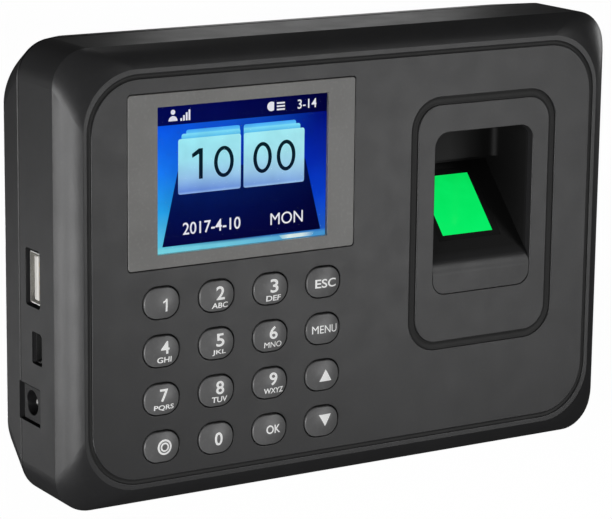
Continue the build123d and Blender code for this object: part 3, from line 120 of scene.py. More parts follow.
class Shader:
    """A material's node tree, with short calls for the nodes that these surfaces use."""

    def __init__(self, name):
        self.material = bpy.data.materials.new(name)
        self.material.use_nodes = True
        self.tree = self.material.node_tree
        self.bsdf = self.tree.nodes["Principled BSDF"]
        self.place = self.add("ShaderNodeTexCoord").outputs["Object"]

    def add(self, kind, **settings):
        node = self.tree.nodes.new(kind)
        for name, value in settings.items():
            setattr(node, name, value)
        return node

    def link(self, output, socket):
        self.tree.links.new(output, socket)

    def set(self, **values):
        for name, value in values.items():
            self.bsdf.inputs[name.replace("_", " ")].default_value = value

    def noise(self, size, detail=3.0, stretch=(1, 1, 1)):
        """Noise whose features are about size metres across."""
        mapping = self.add("ShaderNodeMapping")
        mapping.inputs["Scale"].default_value = [s / size for s in stretch]
        self.link(self.place, mapping.inputs["Vector"])
        texture = self.add("ShaderNodeTexNoise")
        texture.inputs["Scale"].default_value = 1.0
        texture.inputs["Detail"].default_value = detail
        self.link(mapping.outputs["Vector"], texture.inputs["Vector"])
        return texture.outputs["Fac"]

    def remap(self, value, low, high, start=0.3, end=0.7):
        node = self.add("ShaderNodeMapRange")
        node.inputs["From Min"].default_value = start
        node.inputs["From Max"].default_value = end
        node.inputs["To Min"].default_value = low
        node.inputs["To Max"].default_value = high
        self.link(value, node.inputs["Value"])
        return node.outputs["Result"]

    def blend(self, factor, a, b):
        """Colour between a and b. Each is a colour or another node's output."""
        node = self.add("ShaderNodeMix", data_type="RGBA")
        self.link(factor, node.inputs["Factor"])
        for socket, value in ((node.inputs[6], a), (node.inputs[7], b)):
            if isinstance(value, tuple):
                socket.default_value = value
            else:
                self.link(value, socket)
        return node.outputs[2]

    def bump(self, height, distance, strength=1.0, normal=None):
        node = self.add("ShaderNodeBump")
        node.inputs["Distance"].default_value = distance
        node.inputs["Strength"].default_value = strength
        self.link(height, node.inputs["Height"])
        if normal is not None:
            self.link(normal, node.inputs["Normal"])
        return node.outputs["Normal"]


def shade(value, factor):
    """The same colour, lighter or darker."""
    return tuple(min(1.0, c * factor) for c in value[:3]) + (1.0,)


# sizes across of the marks that a surface carries
DRIFT = 18 * MM
SPECK = 0.9 * MM
WEAR = 7 * MM
STAIN = 6 * MM


def moulded(name, base, rough, grain=0.25 * MM, relief=0.012 * MM, vary=0.08, sheen_spread=0.025):
    """Moulded plastic: drifting tone, spark-eroded grain, rubbed and dusty patches."""
    s = Shader(name)
    tone = s.blend(s.remap(s.noise(DRIFT), 0, 1), shade(base, 1 - vary), shade(base, 1 + vary))
    speck = s.remap(s.noise(SPECK, 5.0), 0, 0.22, 0.52, 0.8)
    s.link(s.blend(speck, tone, shade(base, 1.9)), s.bsdf.inputs["Base Color"])
    worn = s.remap(s.noise(WEAR, 4.0), rough - sheen_spread, rough + sheen_spread)
    s.link(worn, s.bsdf.inputs["Roughness"])
    s.link(s.bump(s.noise(grain, 2.0), relief), s.bsdf.inputs["Normal"])
    return s


def metal(name, base, rough, grain=(1, 1, 1), size=0.5 * MM, relief=0.003 * MM):
    """Sheet or plated metal: drawn grain, faint stains and handling marks."""
    s = Shader(name)
    s.set(Metallic=1.0)
    stain = s.remap(s.noise(STAIN, 4.0), 0, 1)
    s.link(s.blend(stain, shade(base, 0.82), shade(base, 1.1)), s.bsdf.inputs["Base Color"])
    lines = s.noise(size, 3.0, grain)
    s.link(s.remap(lines, rough * 0.7, rough * 1.35), s.bsdf.inputs["Roughness"])
    s.link(s.bump(lines, relief), s.bsdf.inputs["Normal"])
    return s


# near-black colour and roughness of the painted shade deep inside the finger bay
RECESS_SHADE = (0.004, 0.004, 0.004, 1)
RECESS_SHADE_ROUGH = 0.62
# colour and specular level of the painted shade along the seam between the shells; PLAIN_SHINE is
# the level away from it
SEAM_SHADE = (0.007, 0.007, 0.007, 1)
SEAM_SHADE_SHINE = 0.15
PLAIN_SHINE = 0.5


def paint_recess_shade(s, depth, fade):
    """Painted shade: matt near-black on every surface further than depth behind the panel's front,
    fading in over fade, so the bay's recess looks shaded.
    """
    split = s.add("ShaderNodeSeparateXYZ")
    s.link(s.place, split.inputs["Vector"])
    recess_mask = s.remap(split.outputs["Y"], 0, 1, FRONT_Y + depth, FRONT_Y + depth + fade)
    plain = s.bsdf.inputs["Base Color"].links[0].from_socket
    s.link(s.blend(recess_mask, plain, RECESS_SHADE), s.bsdf.inputs["Base Color"])
    gloss = s.bsdf.inputs["Roughness"].links[0].from_socket
    matt = s.add("ShaderNodeMix", data_type="FLOAT")
    s.link(recess_mask, matt.inputs["Factor"])
    s.link(gloss, matt.inputs[2])
    matt.inputs[3].default_value = RECESS_SHADE_ROUGH
    s.link(matt.outputs[0], s.bsdf.inputs["Roughness"])


def paint_seam_shade(s, seam_y, reach, fade):
    """Painted shade in a joint: a black line, with its reflection dimmed, that fades out on both
    sides of a plane.
    """
    split = s.add("ShaderNodeSeparateXYZ")
    s.link(s.place, split.inputs["Vector"])
    away = s.add("ShaderNodeMath", operation="SUBTRACT")
    s.link(split.outputs["Y"], away.inputs[0])
    away.inputs[1].default_value = seam_y
    distance = s.add("ShaderNodeMath", operation="ABSOLUTE")
    s.link(away.outputs[0], distance.inputs[0])
    unshaded = s.remap(distance.outputs[0], 0, 1, reach, reach + fade)
    plain = s.bsdf.inputs["Base Color"].links[0].from_socket
    s.link(s.blend(unshaded, SEAM_SHADE, plain), s.bsdf.inputs["Base Color"])
    shine = s.remap(distance.outputs[0], SEAM_SHADE_SHINE, PLAIN_SHINE, reach, reach + fade)
    s.link(shine, s.bsdf.inputs["Specular IOR Level"])


CASE_BLACK = (0.026, 0.026, 0.027, 1)
CASE_ROUGH = 0.36
case = moulded("case_plastic", CASE_BLACK, CASE_ROUGH)
bay_black = moulded("bay_plastic", CASE_BLACK, CASE_ROUGH)
# painted shade: the bay's walls go matt near-black from 1.2 mm behind the panel's front
paint_recess_shade(bay_black, 1.2 * MM, 2.0 * MM)
# how far the back shell's tongue stands in front of the seam
SEAM_TONGUE = 1.6 * MM
seam_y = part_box("back_shell")[0].y + SEAM_TONGUE
# painted shade: a dark line with dimmed reflection where the two shells meet
paint_seam_shade(case, seam_y, 0.30 * MM, 0.20 * MM)

key_grey = moulded("key_plastic", (0.142, 0.142, 0.143, 1), 0.32, relief=0.004 * MM)
window_print = moulded(
    "window_print",
    (0.173, 0.171, 0.164, 1),
    0.34,
    grain=0.12 * MM,
    relief=0.002 * MM,
    vary=0.06,
)
mini_metal = metal("dull_shell", (0.16, 0.16, 0.16, 1), 0.45)
frame_black = moulded("sensor_frame_plastic", (0.012, 0.012, 0.012, 1), 0.35)
black = moulded("black_plastic", (0.014, 0.014, 0.015, 1), 0.42)
socket = moulded("socket_plastic", (0.62, 0.60, 0.55, 1), 0.45, vary=0.05)
white = moulded("white_plastic", (0.78, 0.76, 0.72, 1), 0.40, vary=0.04)
rubber = moulded("silicone", (0.20, 0.20, 0.21, 1), 0.62, vary=0.1)
tape_black = moulded("tape", (0.015, 0.015, 0.016, 1), 0.75)
board_green = moulded("board", (0.012, 0.12, 0.045, 1), 0.35, vary=0.25)
chip_black = moulded("chip", (0.02, 0.02, 0.021, 1), 0.5)
flex_amber = moulded("flex", (0.42, 0.17, 0.03, 1), 0.35, vary=0.12)
wire_red = moulded("wire", (0.40, 0.02, 0.015, 1), 0.45, vary=0.1)
lcd_dark = moulded("lcd_surface", (0.01, 0.011, 0.014, 1), 0.12, relief=0.0005 * MM)
zinc = metal("steel", (0.34, 0.345, 0.35, 1), 0.48, (1, 1, 6))
plated = metal("plated_shell", (0.92, 0.91, 0.89, 1), 0.30, (6, 1, 1), 0.3 * MM)
screw_steel = metal("screw_steel", (0.45, 0.45, 0.46, 1), 0.30)

green_glass = Shader("sensor_glass")
green_glass.set(Roughness=0.08, IOR=1.52, Emission_Strength=1.0)
glow_height = green_glass.add("ShaderNodeSeparateXYZ")
green_glass.link(green_glass.place, glow_height.inputs["Vector"])
glass_low, glass_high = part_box("sensor_prism")
glow = green_glass.remap(glow_height.outputs["Z"], 0, 1, glass_low.z, glass_high.z)
cloud = green_glass.remap(green_glass.noise(6 * MM), 0, 0.5)
lit = green_glass.blend(glow, colour(2, 232, 96), colour(4, 214, 84))
clouded = green_glass.blend(cloud, lit, colour(10, 236, 104))
green_glass.link(clouded, green_glass.bsdf.inputs["Emission Color"])
green_glass.set(Base_Color=(0.0, 0.12, 0.04, 1.0))

FINISH = {
    "case_plastic": case,
    "bay_plastic": bay_black,
    "window_acrylic": window_print,
    "lcd_surface": lcd_dark,
    "key_plastic": key_grey,
    "silicone": rubber,
    "tape": tape_black,
    "board": board_green,
    "chip": chip_black,
    "socket_plastic": socket,
    "white_plastic": white,
    "black_plastic": black,
    "flex": flex_amber,
    "wire": wire_red,
    "steel": zinc,
    "plated_shell": plated,
    "screw_steel": screw_steel,
    "sensor_glass": green_glass,
}
SLOT_OF = {entry["node"]: entry["material_slot"] for entry in frame["record"]["subparts"]}


def paint(obj, shader):
    """Gives an object one finish all over."""
    obj.data.materials.clear()
    obj.data.materials.append(shader.material)


for name, obj in nodes.items():
    paint(obj, FINISH[SLOT_OF[name]])
paint(nodes["sensor_frame"], frame_black)
paint(nodes["mini_usb_shell"], mini_metal)
paint(nodes["mini_usb_tongue"], black)
# the glass is seen lit, but throws no green light on the bay round it
nodes["sensor_prism"].visible_diffuse = False
nodes["sensor_prism"].visible_glossy = False


# ---------------------------------------------------------------- mesh helpers
# points closer than this are one point: in a finished piece, and in lettering before scaling
SAME_POINT = 0.0005 * MM
SAME_LETTER_POINT = 0.01 * MM
LETTER_CURVE_STEPS = 6


def make_piece(name, shape, shader, body=TERMINAL, smooth=False):
    """Turns a finished bmesh into a piece that rides on a body."""
    bmesh.ops.remove_doubles(shape, verts=shape.verts, dist=SAME_POINT)
    bmesh.ops.recalc_face_normals(shape, faces=shape.faces)
    mesh = bpy.data.meshes.new(name)
    shape.to_mesh(mesh)
    shape.free()
    for face in mesh.polygons:
        face.use_smooth = smooth
    piece = bpy.data.objects.new(name, mesh)
    COLLECTION.objects.link(piece)
    piece.data.materials.append(shader.material)
    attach(piece, body)
    return piece


def rounded_outline(centre, half_w, half_h, radius, steps=10):
    """(x, z, outward x, outward z) round a rounded rectangle, seen from the front."""
    points = []
    for quarter in range(4):
        sx = 1 if quarter in (0, 3) else -1
        sz = 1 if quarter in (0, 1) else -1
        for k in range(steps + 1):
            angle = (quarter + k / steps) * math.pi / 2
            nx, nz = math.cos(angle), math.sin(angle)
            x = centre[0] + sx * (half_w - radius) + radius * nx
            z = centre[1] + sz * (half_h - radius) + radius * nz
            points.append((x, z, nx, nz))
    return points


def join_loops(shape, loops):
    """Faces between each closed loop of vertices and the next, and from the last to the first."""
    count = len(loops[0])
    for a, b in zip(loops, loops[1:] + loops[:1]):
        for k in range(count):
            m = (k + 1) % count
            shape.faces.new((a[k], a[m], b[m], b[k]))


def sweep_round(shape, outline, profile):
    """Carries a closed profile of (outward, y) points round an outline."""
    loops = []
    for x, z, nx, nz in outline:
        loops.append([shape.verts.new((x + n * nx, y, z + n * nz)) for n, y in profile])
    join_loops(shape, loops)


def prism(shape, points, y_front, y_back):
    """Closed flat slab with the given (x, z) outline."""
    front = [shape.verts.new((x, y_front, z)) for x, z in points]
    rear = [shape.verts.new((x, y_back, z)) for x, z in points]
    shape.faces.new(front)
    shape.faces.new(rear[::-1])
    for k in range(len(points)):
        m = (k + 1) % len(points)
        shape.faces.new((front[k], rear[k], rear[m], front[m]))


CUT_ROUNDS = 4


def cut_small(sheet, cut):
    """Splits a flat sheet until few edges are longer than cut, so that it can bend."""
    bmesh.ops.triangulate(sheet, faces=sheet.faces)
    for _ in range(CUT_ROUNDS):
        long_edges = [e for e in sheet.edges if e.calc_length() > cut]
        bmesh.ops.subdivide_edges(sheet, edges=long_edges, cuts=1)
        bmesh.ops.triangulate(sheet, faces=sheet.faces)


def text_shape(shape, text, box, y_front, y_back, embolden=0.0, cut=0.0):
    """Adds solid lettering that fills box, (left, bottom, right, top), in the panel's plane."""
    curve = bpy.data.curves.new("lettering", "FONT")
    curve.body = text
    # a bolder outline of an M would cross itself
    curve.offset = 0.0 if "M" in text else embolden
    curve.resolution_u = LETTER_CURVE_STEPS
    holder = bpy.data.objects.new("lettering", curve)
    COLLECTION.objects.link(holder)
    bpy.context.view_layer.update()
    drawn = holder.evaluated_get(bpy.context.evaluated_depsgraph_get())
    flat = bpy.data.meshes.new_from_object(drawn)
    bpy.data.objects.remove(holder)
    letters = bmesh.new()
    letters.from_mesh(flat)
    bpy.data.meshes.remove(flat)
    bmesh.ops.remove_doubles(letters, verts=letters.verts, dist=SAME_LETTER_POINT)
    xs = [v.co.x for v in letters.verts]
    ys = [v.co.y for v in letters.verts]
    left, bottom, right_edge, top = box
    scale_x = (right_edge - left) / (max(xs) - min(xs))
    scale_z = (top - bottom) / (max(ys) - min(ys))
    for v in letters.verts:
        x = left + (v.co.x - min(xs)) * scale_x
        z = bottom + (v.co.y - min(ys)) * scale_z
        v.co = (x, 0.0, z)
    if cut:
        cut_small(letters, cut)
    add_solid(shape, letters, y_front, y_back)
    letters.free()


def add_solid(shape, sheet, y_front, y_back):
    """Adds the closed solid between a flat sheet's front and back copies."""
    front = {v: shape.verts.new((v.co.x, y_front, v.co.z)) for v in sheet.verts}
    rear = {v: shape.verts.new((v.co.x, y_back, v.co.z)) for v in sheet.verts}
    seen = set()
    for face in sheet.faces:
        corners = frozenset(face.verts)
        if corners in seen:
            continue
        seen.add(corners)
        shape.faces.new([front[v] for v in face.verts])
        shape.faces.new([rear[v] for v in reversed(face.verts)])
    for edge in sheet.edges:
        if edge.is_boundary:
            a, b = edge.verts
            shape.faces.new((front[a], front[b], rear[b], rear[a]))


def arc(centre, radius_x, radius_z, start, end, steps):
    """Points along an elliptical arc between two angles in degrees."""
    points = []
    for k in range(steps + 1):
        angle = math.radians(start + (end - start) * k / steps)
        x = centre[0] + radius_x * math.cos(angle)
        z = centre[1] + radius_z * math.sin(angle)
        points.append((x, z))
    return points


def ring_points(centre, radius_x, radius_z, steps=40):
    """Points round a whole ellipse."""
    return arc(centre, radius_x, radius_z, 0, 360, steps)[:-1]


def add_ring(shape, outer, inner, y_front, y_back):
    """Closed flat ring between two outlines with the same number of points."""
    corners = ((outer, y_front), (inner, y_front), (inner, y_back), (outer, y_back))
    join_loops(shape, [[shape.verts.new((x, y, z)) for x, z in line] for line, y in corners])


# ---------------------------------------------------------------- screen picture
SCREEN_W = 48.96 * MM
SCREEN_H = 36.72 * MM
lcd_low, lcd_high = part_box("lcd_glass")
# the lit area sits a little off the middle of its glass
SCREEN_X = (lcd_low.x + lcd_high.x) / 2 + 0.17 * MM
SCREEN_Z = (lcd_low.z + lcd_high.z) / 2 - 0.035 * MM
PICTURE_Y = lcd_low.y
LAYER = 0.015 * MM


def screen_point(u, v):
    """Place on the picture, u from its left edge and v from its top, as shares of its size."""
    return (SCREEN_X + (u - 0.5) * SCREEN_W, SCREEN_Z + (0.5 - v) * SCREEN_H)


def screen_box(u0, v0, u1, v1):
    """(left, bottom, right, top) of a part of the picture, in metres."""
    left, top = screen_point(u0, v0)
    right_edge, bottom = screen_point(u1, v1)
    return (left, bottom, right_edge, top)


def screen_rectangle(u0, v0, u1, v1):
    """Outline of an upright rectangle on the picture."""
    return [screen_point(u, v) for u, v in ((u0, v0), (u1, v0), (u1, v1), (u0, v1))]


def layer_span(layer):
    """Front and back Y of a picture layer. Higher layers lie further forwards."""
    return (PICTURE_Y - (layer + 1) * LAYER, PICTURE_Y - layer * LAYER)


class Glow(Shader):
    """Lit surface of the screen, whose colour runs with the place on the picture."""

    def __init__(self, name):
        super().__init__(name)
        self.set(Base_Color=(0, 0, 0, 1), Roughness=0.6, Emission_Strength=1.0)
        self.bsdf.inputs["Specular IOR Level"].default_value = 0.0
        split = self.add("ShaderNodeSeparateXYZ")
        self.link(self.place, split.inputs["Vector"])
        left, top = screen_point(0, 0)
        self.u = self.remap(split.outputs["X"], 0, 1, left, left + SCREEN_W)
        self.v = self.remap(split.outputs["Z"], 0, 1, top, top - SCREEN_H)

    def ramp(self, value, stops):
        node = self.add("ShaderNodeValToRGB")
        elements = node.color_ramp.elements
        while len(elements) < len(stops):
            elements.new(0.5)
        for element, (position, tone) in zip(elements, stops):
            element.position = position
            element.color = colour(*tone)
        self.link(value, node.inputs["Fac"])
        return node.outputs["Color"]

    def show(self, picture):
        """Shows a colour with the faint unevenness of a backlight."""
        dimmer = self.remap(self.noise(5 * MM, 2.0), 0.0, 0.12)
        self.link(self.blend(dimmer, picture, (0, 0, 0.02, 1)), self.bsdf.inputs["Emission Color"])
        return self


# each run of colours is a list of (share of the picture's height or width, tone)
sky = Glow("screen_sky")
SKY_LEFT = (
    (0.13, (8, 84, 232)),
    (0.45, (26, 126, 250)),
    (0.72, (40, 166, 240)),
    (0.95, (96, 205, 235)),
    (0.975, (120, 214, 228)),
)
SKY_MIDDLE = (
    (0.13, (18, 84, 208)),
    (0.30, (4, 50, 180)),
    (0.60, (4, 22, 90)),
    (0.955, (24, 70, 140)),
    (0.975, (112, 200, 224)),
)
SKY_RIGHT = (
    (0.13, (1, 14, 120)),
    (0.45, (4, 38, 172)),
    (0.70, (6, 62, 206)),
    (0.95, (30, 88, 190)),
    (0.975, (72, 150, 208)),
)
sky_left, sky_middle, sky_right = (
    sky.ramp(sky.v, stops) for stops in (SKY_LEFT, SKY_MIDDLE, SKY_RIGHT)
)
half_left = sky.blend(sky.remap(sky.u, 0, 1, 0.0, 0.45), sky_left, sky_middle)
sky.show(sky.blend(sky.remap(sky.u, 0, 1, 0.45, 0.95), half_left, sky_right))

navy = Glow("screen_navy")
NAVY_STOPS = (
    (0.0, (3, 8, 78)),
    (0.2, (4, 14, 84)),
    (0.5, (6, 30, 96)),
    (0.75, (4, 16, 76)),
    (0.95, (6, 8, 62)),
)
navy_floor = navy.ramp(navy.v, NAVY_STOPS)
navy.show(navy.blend(navy.remap(navy.u, 0, 0.7, 0.35, 1.0), navy_floor, colour(2, 0, 36)))

card = Glow("screen_card")
CARD_STOPS = (
    (0.22, (160, 240, 250)),
    (0.38, (158, 226, 242)),
    (0.50, (150, 196, 236)),
    (0.59, (104, 142, 222)),
    (0.606, (140, 176, 236)),
)
card_front = card.ramp(card.v, CARD_STOPS)
card.show(card.blend(card.remap(card.u, 0, 0.25, 0.2, 0.85), card_front, colour(190, 240, 240)))

card_edge = Glow("screen_card_edge")
CARD_EDGE_STOPS = (
    (0.17, (66, 168, 250)),
    (0.196, (96, 196, 250)),
    (0.20, (128, 226, 252)),
    (0.232, (90, 190, 240)),
)
card_edge.show(card_edge.ramp(card_edge.v, CARD_EDGE_STOPS))

ink = Glow("screen_ink")
ink.show(ink.ramp(ink.v, ((0.3, (8, 34, 40)), (0.5, (10, 26, 46)))))

pale = Glow("screen_pale")
pale.show(pale.ramp(pale.u, ((0.05, (226, 226, 240)), (0.9, (232, 232, 238)))))

spark = Glow("screen_spark")
SPARK_STOPS = (
    (0.72, (126, 200, 224)),
    (0.78, (226, 244, 240)),
    (0.86, (216, 236, 236)),
    (0.92, (110, 170, 214)),
)
spark.show(spark.ramp(spark.u, SPARK_STOPS))


def rounded_card(u0, v0, u1, v1, radius):
    """Outline of one flip card."""
    left, bottom, right_edge, top = screen_box(u0, v0, u1, v1)
    centre = ((left + right_edge) / 2, (bottom + top) / 2)
    outline = rounded_outline(centre, (right_edge - left) / 2, (top - bottom) / 2, radius, 5)
    return [(x, z) for x, z, _, _ in outline]


def picture_part(name, shader, layer, outlines):
    """Flat shapes that lie in one layer of the picture."""
    shape = bmesh.new()
    for outline in outlines:
        prism(shape, outline, *layer_span(layer))
    return make_piece(name, shape, shader)


# corners in shares of the picture: the dark floor under the cards, and the gleam on its edge
DARK_FLOOR = ((0.126, 0.449), (0.874, 0.449), (0.970, 0.955), (0.038, 0.955))
GLEAM = ((0.72, 0.968), (0.93, 0.968), (0.92, 0.994), (0.74, 0.994))
STATUS_BAR_V = 0.132
picture_part("screen_sky", sky, 0, [screen_rectangle(0, 0, 1, 1)])
dark_fields = [screen_rectangle(0, 0, 1, STATUS_BAR_V), [screen_point(u, v) for u, v in DARK_FLOOR]]
picture_part("screen_dark_fields", navy, 1, dark_fields)
picture_part("screen_spark", spark, 1, [[screen_point(u, v) for u, v in GLEAM]])

# (name, shader, layer, left, end of the left card, right, top, bottom) of each pair of flip cards
CARD_R = 0.55 * MM
RIGHT_CARD_U = 0.507
CARD_PAIRS = (
    ("screen_card_stack", card_edge, 2, 0.174, 0.484, 0.816, 0.173, 0.30),
    ("screen_card_second", card_edge, 3, 0.147, 0.487, 0.842, 0.198, 0.30),
    ("screen_cards", card, 4, 0.128, 0.490, 0.867, 0.232, 0.608),
)
for name, shader, layer, left, middle, right_end, top, bottom in CARD_PAIRS:
    pair = [
        rounded_card(left, top, middle, bottom, CARD_R),
        rounded_card(RIGHT_CARD_U, top, right_end, bottom, CARD_R),
    ]
    picture_part(name, shader, layer, pair)

# large clock digits: a drawn 1 and three oval zeros
TOP_LAYER = 5
STROKE_U = 0.021
STROKE_V = 0.026
ZEROS_U = ((0.334, 0.449), (0.563, 0.673), (0.702, 0.814))
ZERO_V = 0.412
ZERO_HALF_V = 0.107
ONE = (
    (0.246, 0.306),
    (0.269, 0.306),
    (0.269, 0.514),
    (0.247, 0.514),
    (0.247, 0.342),
    (0.209, 0.366),
    (0.206, 0.340),
)
top_span = layer_span(TOP_LAYER)
digits = bmesh.new()
for u0, u1 in ZEROS_U:
    centre = screen_point((u0 + u1) / 2, ZERO_V)
    half_u = (u1 - u0) / 2 * SCREEN_W
    half_v = ZERO_HALF_V * SCREEN_H
    add_ring(
        digits,
        ring_points(centre, half_u, half_v),
        ring_points(centre, half_u - STROKE_U * SCREEN_W, half_v - STROKE_V * SCREEN_H),
        *top_span,
    )
prism(digits, [screen_point(u, v) for u, v in ONE], *top_span)
make_piece("screen_digits", digits, ink)

# date, weekday and small status signs
SCREEN_BOLD = 0.008
SCREEN_TEXTS = (
    ("2017-4-10", (0.155, 0.803, 0.490, 0.887)),
    ("MON", (0.668, 0.806, 0.862, 0.889)),
    ("3-14", (0.824, 0.036, 0.938, 0.100)),
)
marks = bmesh.new()
for text, place in SCREEN_TEXTS:
    text_shape(marks, text, screen_box(*place), *top_span, embolden=SCREEN_BOLD)


# the hollow of the moon sign, as shares of its radius
HOLLOW_SHIFT = 0.4158
HOLLOW_HALF_W = 0.8118
HOLLOW_HALF_H = 0.9


def crescent(u, v, radius):
    """Moon sign: two arcs of different centres."""
    x, z = screen_point(u, v)
    outer = arc((x, z), radius, radius, 60, 300, 16)
    hollow = (x + HOLLOW_SHIFT * radius, z)
    inner = arc(hollow, HOLLOW_HALF_W * radius, HOLLOW_HALF_H * radius, 286, 74, 14)
    return outer + inner


BAR_STEP = 0.0155
BAR_WIDTH = 0.010
BAR_RISE = 0.018


def signal_bars(u, v):
    """Four bars that stand on v and get taller to the right."""
    starts = [u + k * BAR_STEP for k in range(4)]
    return [
        screen_rectangle(start, v, start + BAR_WIDTH, v - BAR_RISE * (k + 1))
        for k, start in enumerate(starts)
    ]


LINE_STEP = 0.022
LINE_WIDTH = 0.011
LINE_LENGTH = 0.048


def text_lines(u, v):
    """Three short lines, one under the other, that stand for a paragraph."""
    return [
        screen_rectangle(u, v + LINE_STEP * k, u + LINE_LENGTH, v + LINE_WIDTH + LINE_STEP * k)
        for k in range(3)
    ]


HEAD_R = 0.62 * MM
HEAD_RISE = 0.75 * MM
SHOULDER_R = 1.25 * MM
SHOULDER_DROP = 1.45 * MM


def person(u, v):
    """Visitor sign: a head over rounded shoulders."""
    x, z = screen_point(u, v)
    head = ring_points((x, z + HEAD_RISE), HEAD_R, HEAD_R, 20)
    shoulders = arc((x, z - SHOULDER_DROP), SHOULDER_R, SHOULDER_R, 0, 180, 16)
    return [head, shoulders]


signs = [
    *person(0.098, 0.066),
    *signal_bars(0.140, 0.108),
    crescent(0.668, 0.066, 1.2 * MM),
    *text_lines(0.700, 0.042),
]
for outline in signs:
    prism(marks, outline, *top_span)
make_piece("screen_marks", marks, pale)


# ---------------------------------------------------------------- window
window_low, window_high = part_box("display_window")
WINDOW_CENTRE = ((window_low.x + window_high.x) / 2, (window_low.z + window_high.z) / 2)
WINDOW_HALF_W = (window_high.x - window_low.x) / 2
WINDOW_HALF_H = (window_high.z - window_low.z) / 2
WINDOW_EDGE = 0.12 * MM
WINDOW_R = 0.85 * MM
BORDER_LIP = 0.05 * MM
BORDER_STEPS = 8
CLEAR_R = 0.15 * MM
# the clear pane stands clear of the border round it and of the window's two faces
PANE_GAP = 0.01 * MM
PANE_SUNK = 0.02 * MM


def screen_outline(grow, steps):
    """Outline of the clear part, with as many points as the window's own outline."""
    half_w, half_h = SCREEN_W / 2 + grow, SCREEN_H / 2 + grow
    return rounded_outline((SCREEN_X, SCREEN_Z), half_w, half_h, CLEAR_R, steps)


def window_border():
    """Grey printed border of the window, with its bevelled outer edge."""
    outer = rounded_outline(WINDOW_CENTRE, WINDOW_HALF_W, WINDOW_HALF_H, WINDOW_R, BORDER_STEPS)
    inner = screen_outline(0.0, BORDER_STEPS)
    front_y, back_y = window_low.y, window_high.y
    shape = bmesh.new()
    rings = []
    for line, inset, y in (
        (inner, 0.0, back_y),
        (inner, 0.0, front_y + BORDER_LIP),
        (inner, -BORDER_LIP, front_y),
        (outer, WINDOW_EDGE, front_y),
        (outer, 0.0, front_y + WINDOW_EDGE),
        (outer, 0.0, back_y),
    ):
        places = [(x - inset * nx, y, z - inset * nz) for x, z, nx, nz in line]
        rings.append([shape.verts.new(place) for place in places])
    join_loops(shape, rings)
    piece = make_piece("window_border", shape, window_print)
    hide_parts("display_window")


window_border()

clear = Shader("window_clear")
clear.set(Base_Color=(1, 1, 1, 1), IOR=1.02, Transmission_Weight=1.0)
clear.bsdf.inputs["Specular IOR Level"].default_value = 0.3
clear.link(clear.remap(clear.noise(9 * MM), 0.0, 0.02), clear.bsdf.inputs["Roughness"])
pane = bmesh.new()
pane_outline = [(x, z) for x, z, _, _ in screen_outline(-PANE_GAP, 4)]
prism(pane, pane_outline, window_low.y + PANE_SUNK, window_high.y - PANE_SUNK)
make_piece("window_clear_pane", pane, clear)


# ---------------------------------------------------------------- groove strips of painted shade
groove_shade = moulded("groove_painted_shade", (0.022, 0.022, 0.022, 1), 0.65, relief=0.006 * MM)
SHADE_STRIP_PLAY = 0.02 * MM
SHADE_STRIP_STEPS = 8
# height of the hollow's middle, as a share of its edges' height
HOLLOW = 0.25


def channel_profile(width, depth, fill):
    """Cross-section of a dark strip of painted shade in a groove: flat under, hollowed on top."""
    half = width / 2 - SHADE_STRIP_PLAY
    floor = FRONT_Y + depth
    points = [(-half, floor), (half, floor)]
    for k in range(SHADE_STRIP_STEPS + 1):
        t = 1 - 2 * k / SHADE_STRIP_STEPS
        points.append((half * t, floor - fill * (HOLLOW + (1 - HOLLOW) * t * t)))
    return points


# the groove round the finger bay, and the long one round the whole panel
SURROUND_CENTRE = (40.67 * MM, 5.48 * MM)
SURROUND = rounded_outline(SURROUND_CENTRE, 43.63 / 2 * MM, 65.16 / 2 * MM, 7.6 * MM, 14)
PANEL_LINE = rounded_outline((0, 0), 75.13 * MM, 50.86 * MM, 13.6 * MM, 18)
# dark matt strips in both grooves: painted shade that deepens them
for name, outline, profile in (
    ("surround_lining", SURROUND, channel_profile(2.1 * MM, 0.9 * MM, 0.55 * MM)),
    ("panel_groove_lining", PANEL_LINE, channel_profile(1.1 * MM, 0.7 * MM, 0.35 * MM)),
):
    shape = bmesh.new()
    sweep_round(shape, outline, profile)
    make_piece(name, shape, groove_shade, smooth=True)


# ---------------------------------------------------------------- port contacts
# how much of a tongue counts as its tip, where the face for the contacts is measured
TONGUE_TIP = 1.0 * MM
gold = metal("contact_gold", (0.86, 0.62, 0.26, 1), 0.24, (6, 1, 1), 0.2 * MM)


def slab(shape, low, high):
    """Closed box between two corners."""
    corners = bmesh.ops.create_cube(shape, size=1.0)["verts"]
    for v in corners:
        v.co = [low[i] + (v.co[i] + 0.5) * (high[i] - low[i]) for i in range(3)]


def contact_strips(name, tongue, pitch, count, size):
    """Row of flat contacts laid into the front face of a socket's tongue, stacked upwards."""
    low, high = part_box(tongue)
    middle = (low.z + high.z) / 2
    inset, length, height, thick = size
    places = [nodes[tongue].matrix_world @ v.co for v in nodes[tongue].data.vertices]
    face_y = min(p.y for p in places if p.x < low.x + TONGUE_TIP)
    shape = bmesh.new()
    for k in range(count):
        z = middle + (k - (count - 1) / 2) * pitch
        near = (low.x + inset, face_y - thick / 2, z - height / 2)
        far = (low.x + inset + length, face_y + thick / 2, z + height / 2)
        slab(shape, near, far)
    return make_piece(name, shape, gold)


# inset from the tip, length, height and thickness of a contact
USB_STRIP = (0.5 * MM, 6.5 * MM, 1.1 * MM, 0.08 * MM)
MINI_STRIP = (0.25 * MM, 3.6 * MM, 0.42 * MM, 0.06 * MM)
contact_strips("usb_contacts", "usb_a_tongue", 2.35 * MM, 4, USB_STRIP)
contact_strips("mini_usb_contacts", "mini_usb_tongue", 0.8 * MM, 5, MINI_STRIP)


# ---------------------------------------------------------------- key legends
LEGEND_TONE = (0.85, 0.85, 0.84, 1)
glowing_legend = moulded("legend_print_with_glow", LEGEND_TONE, 0.5, 0.1 * MM, 0.002 * MM, vary=0.05)
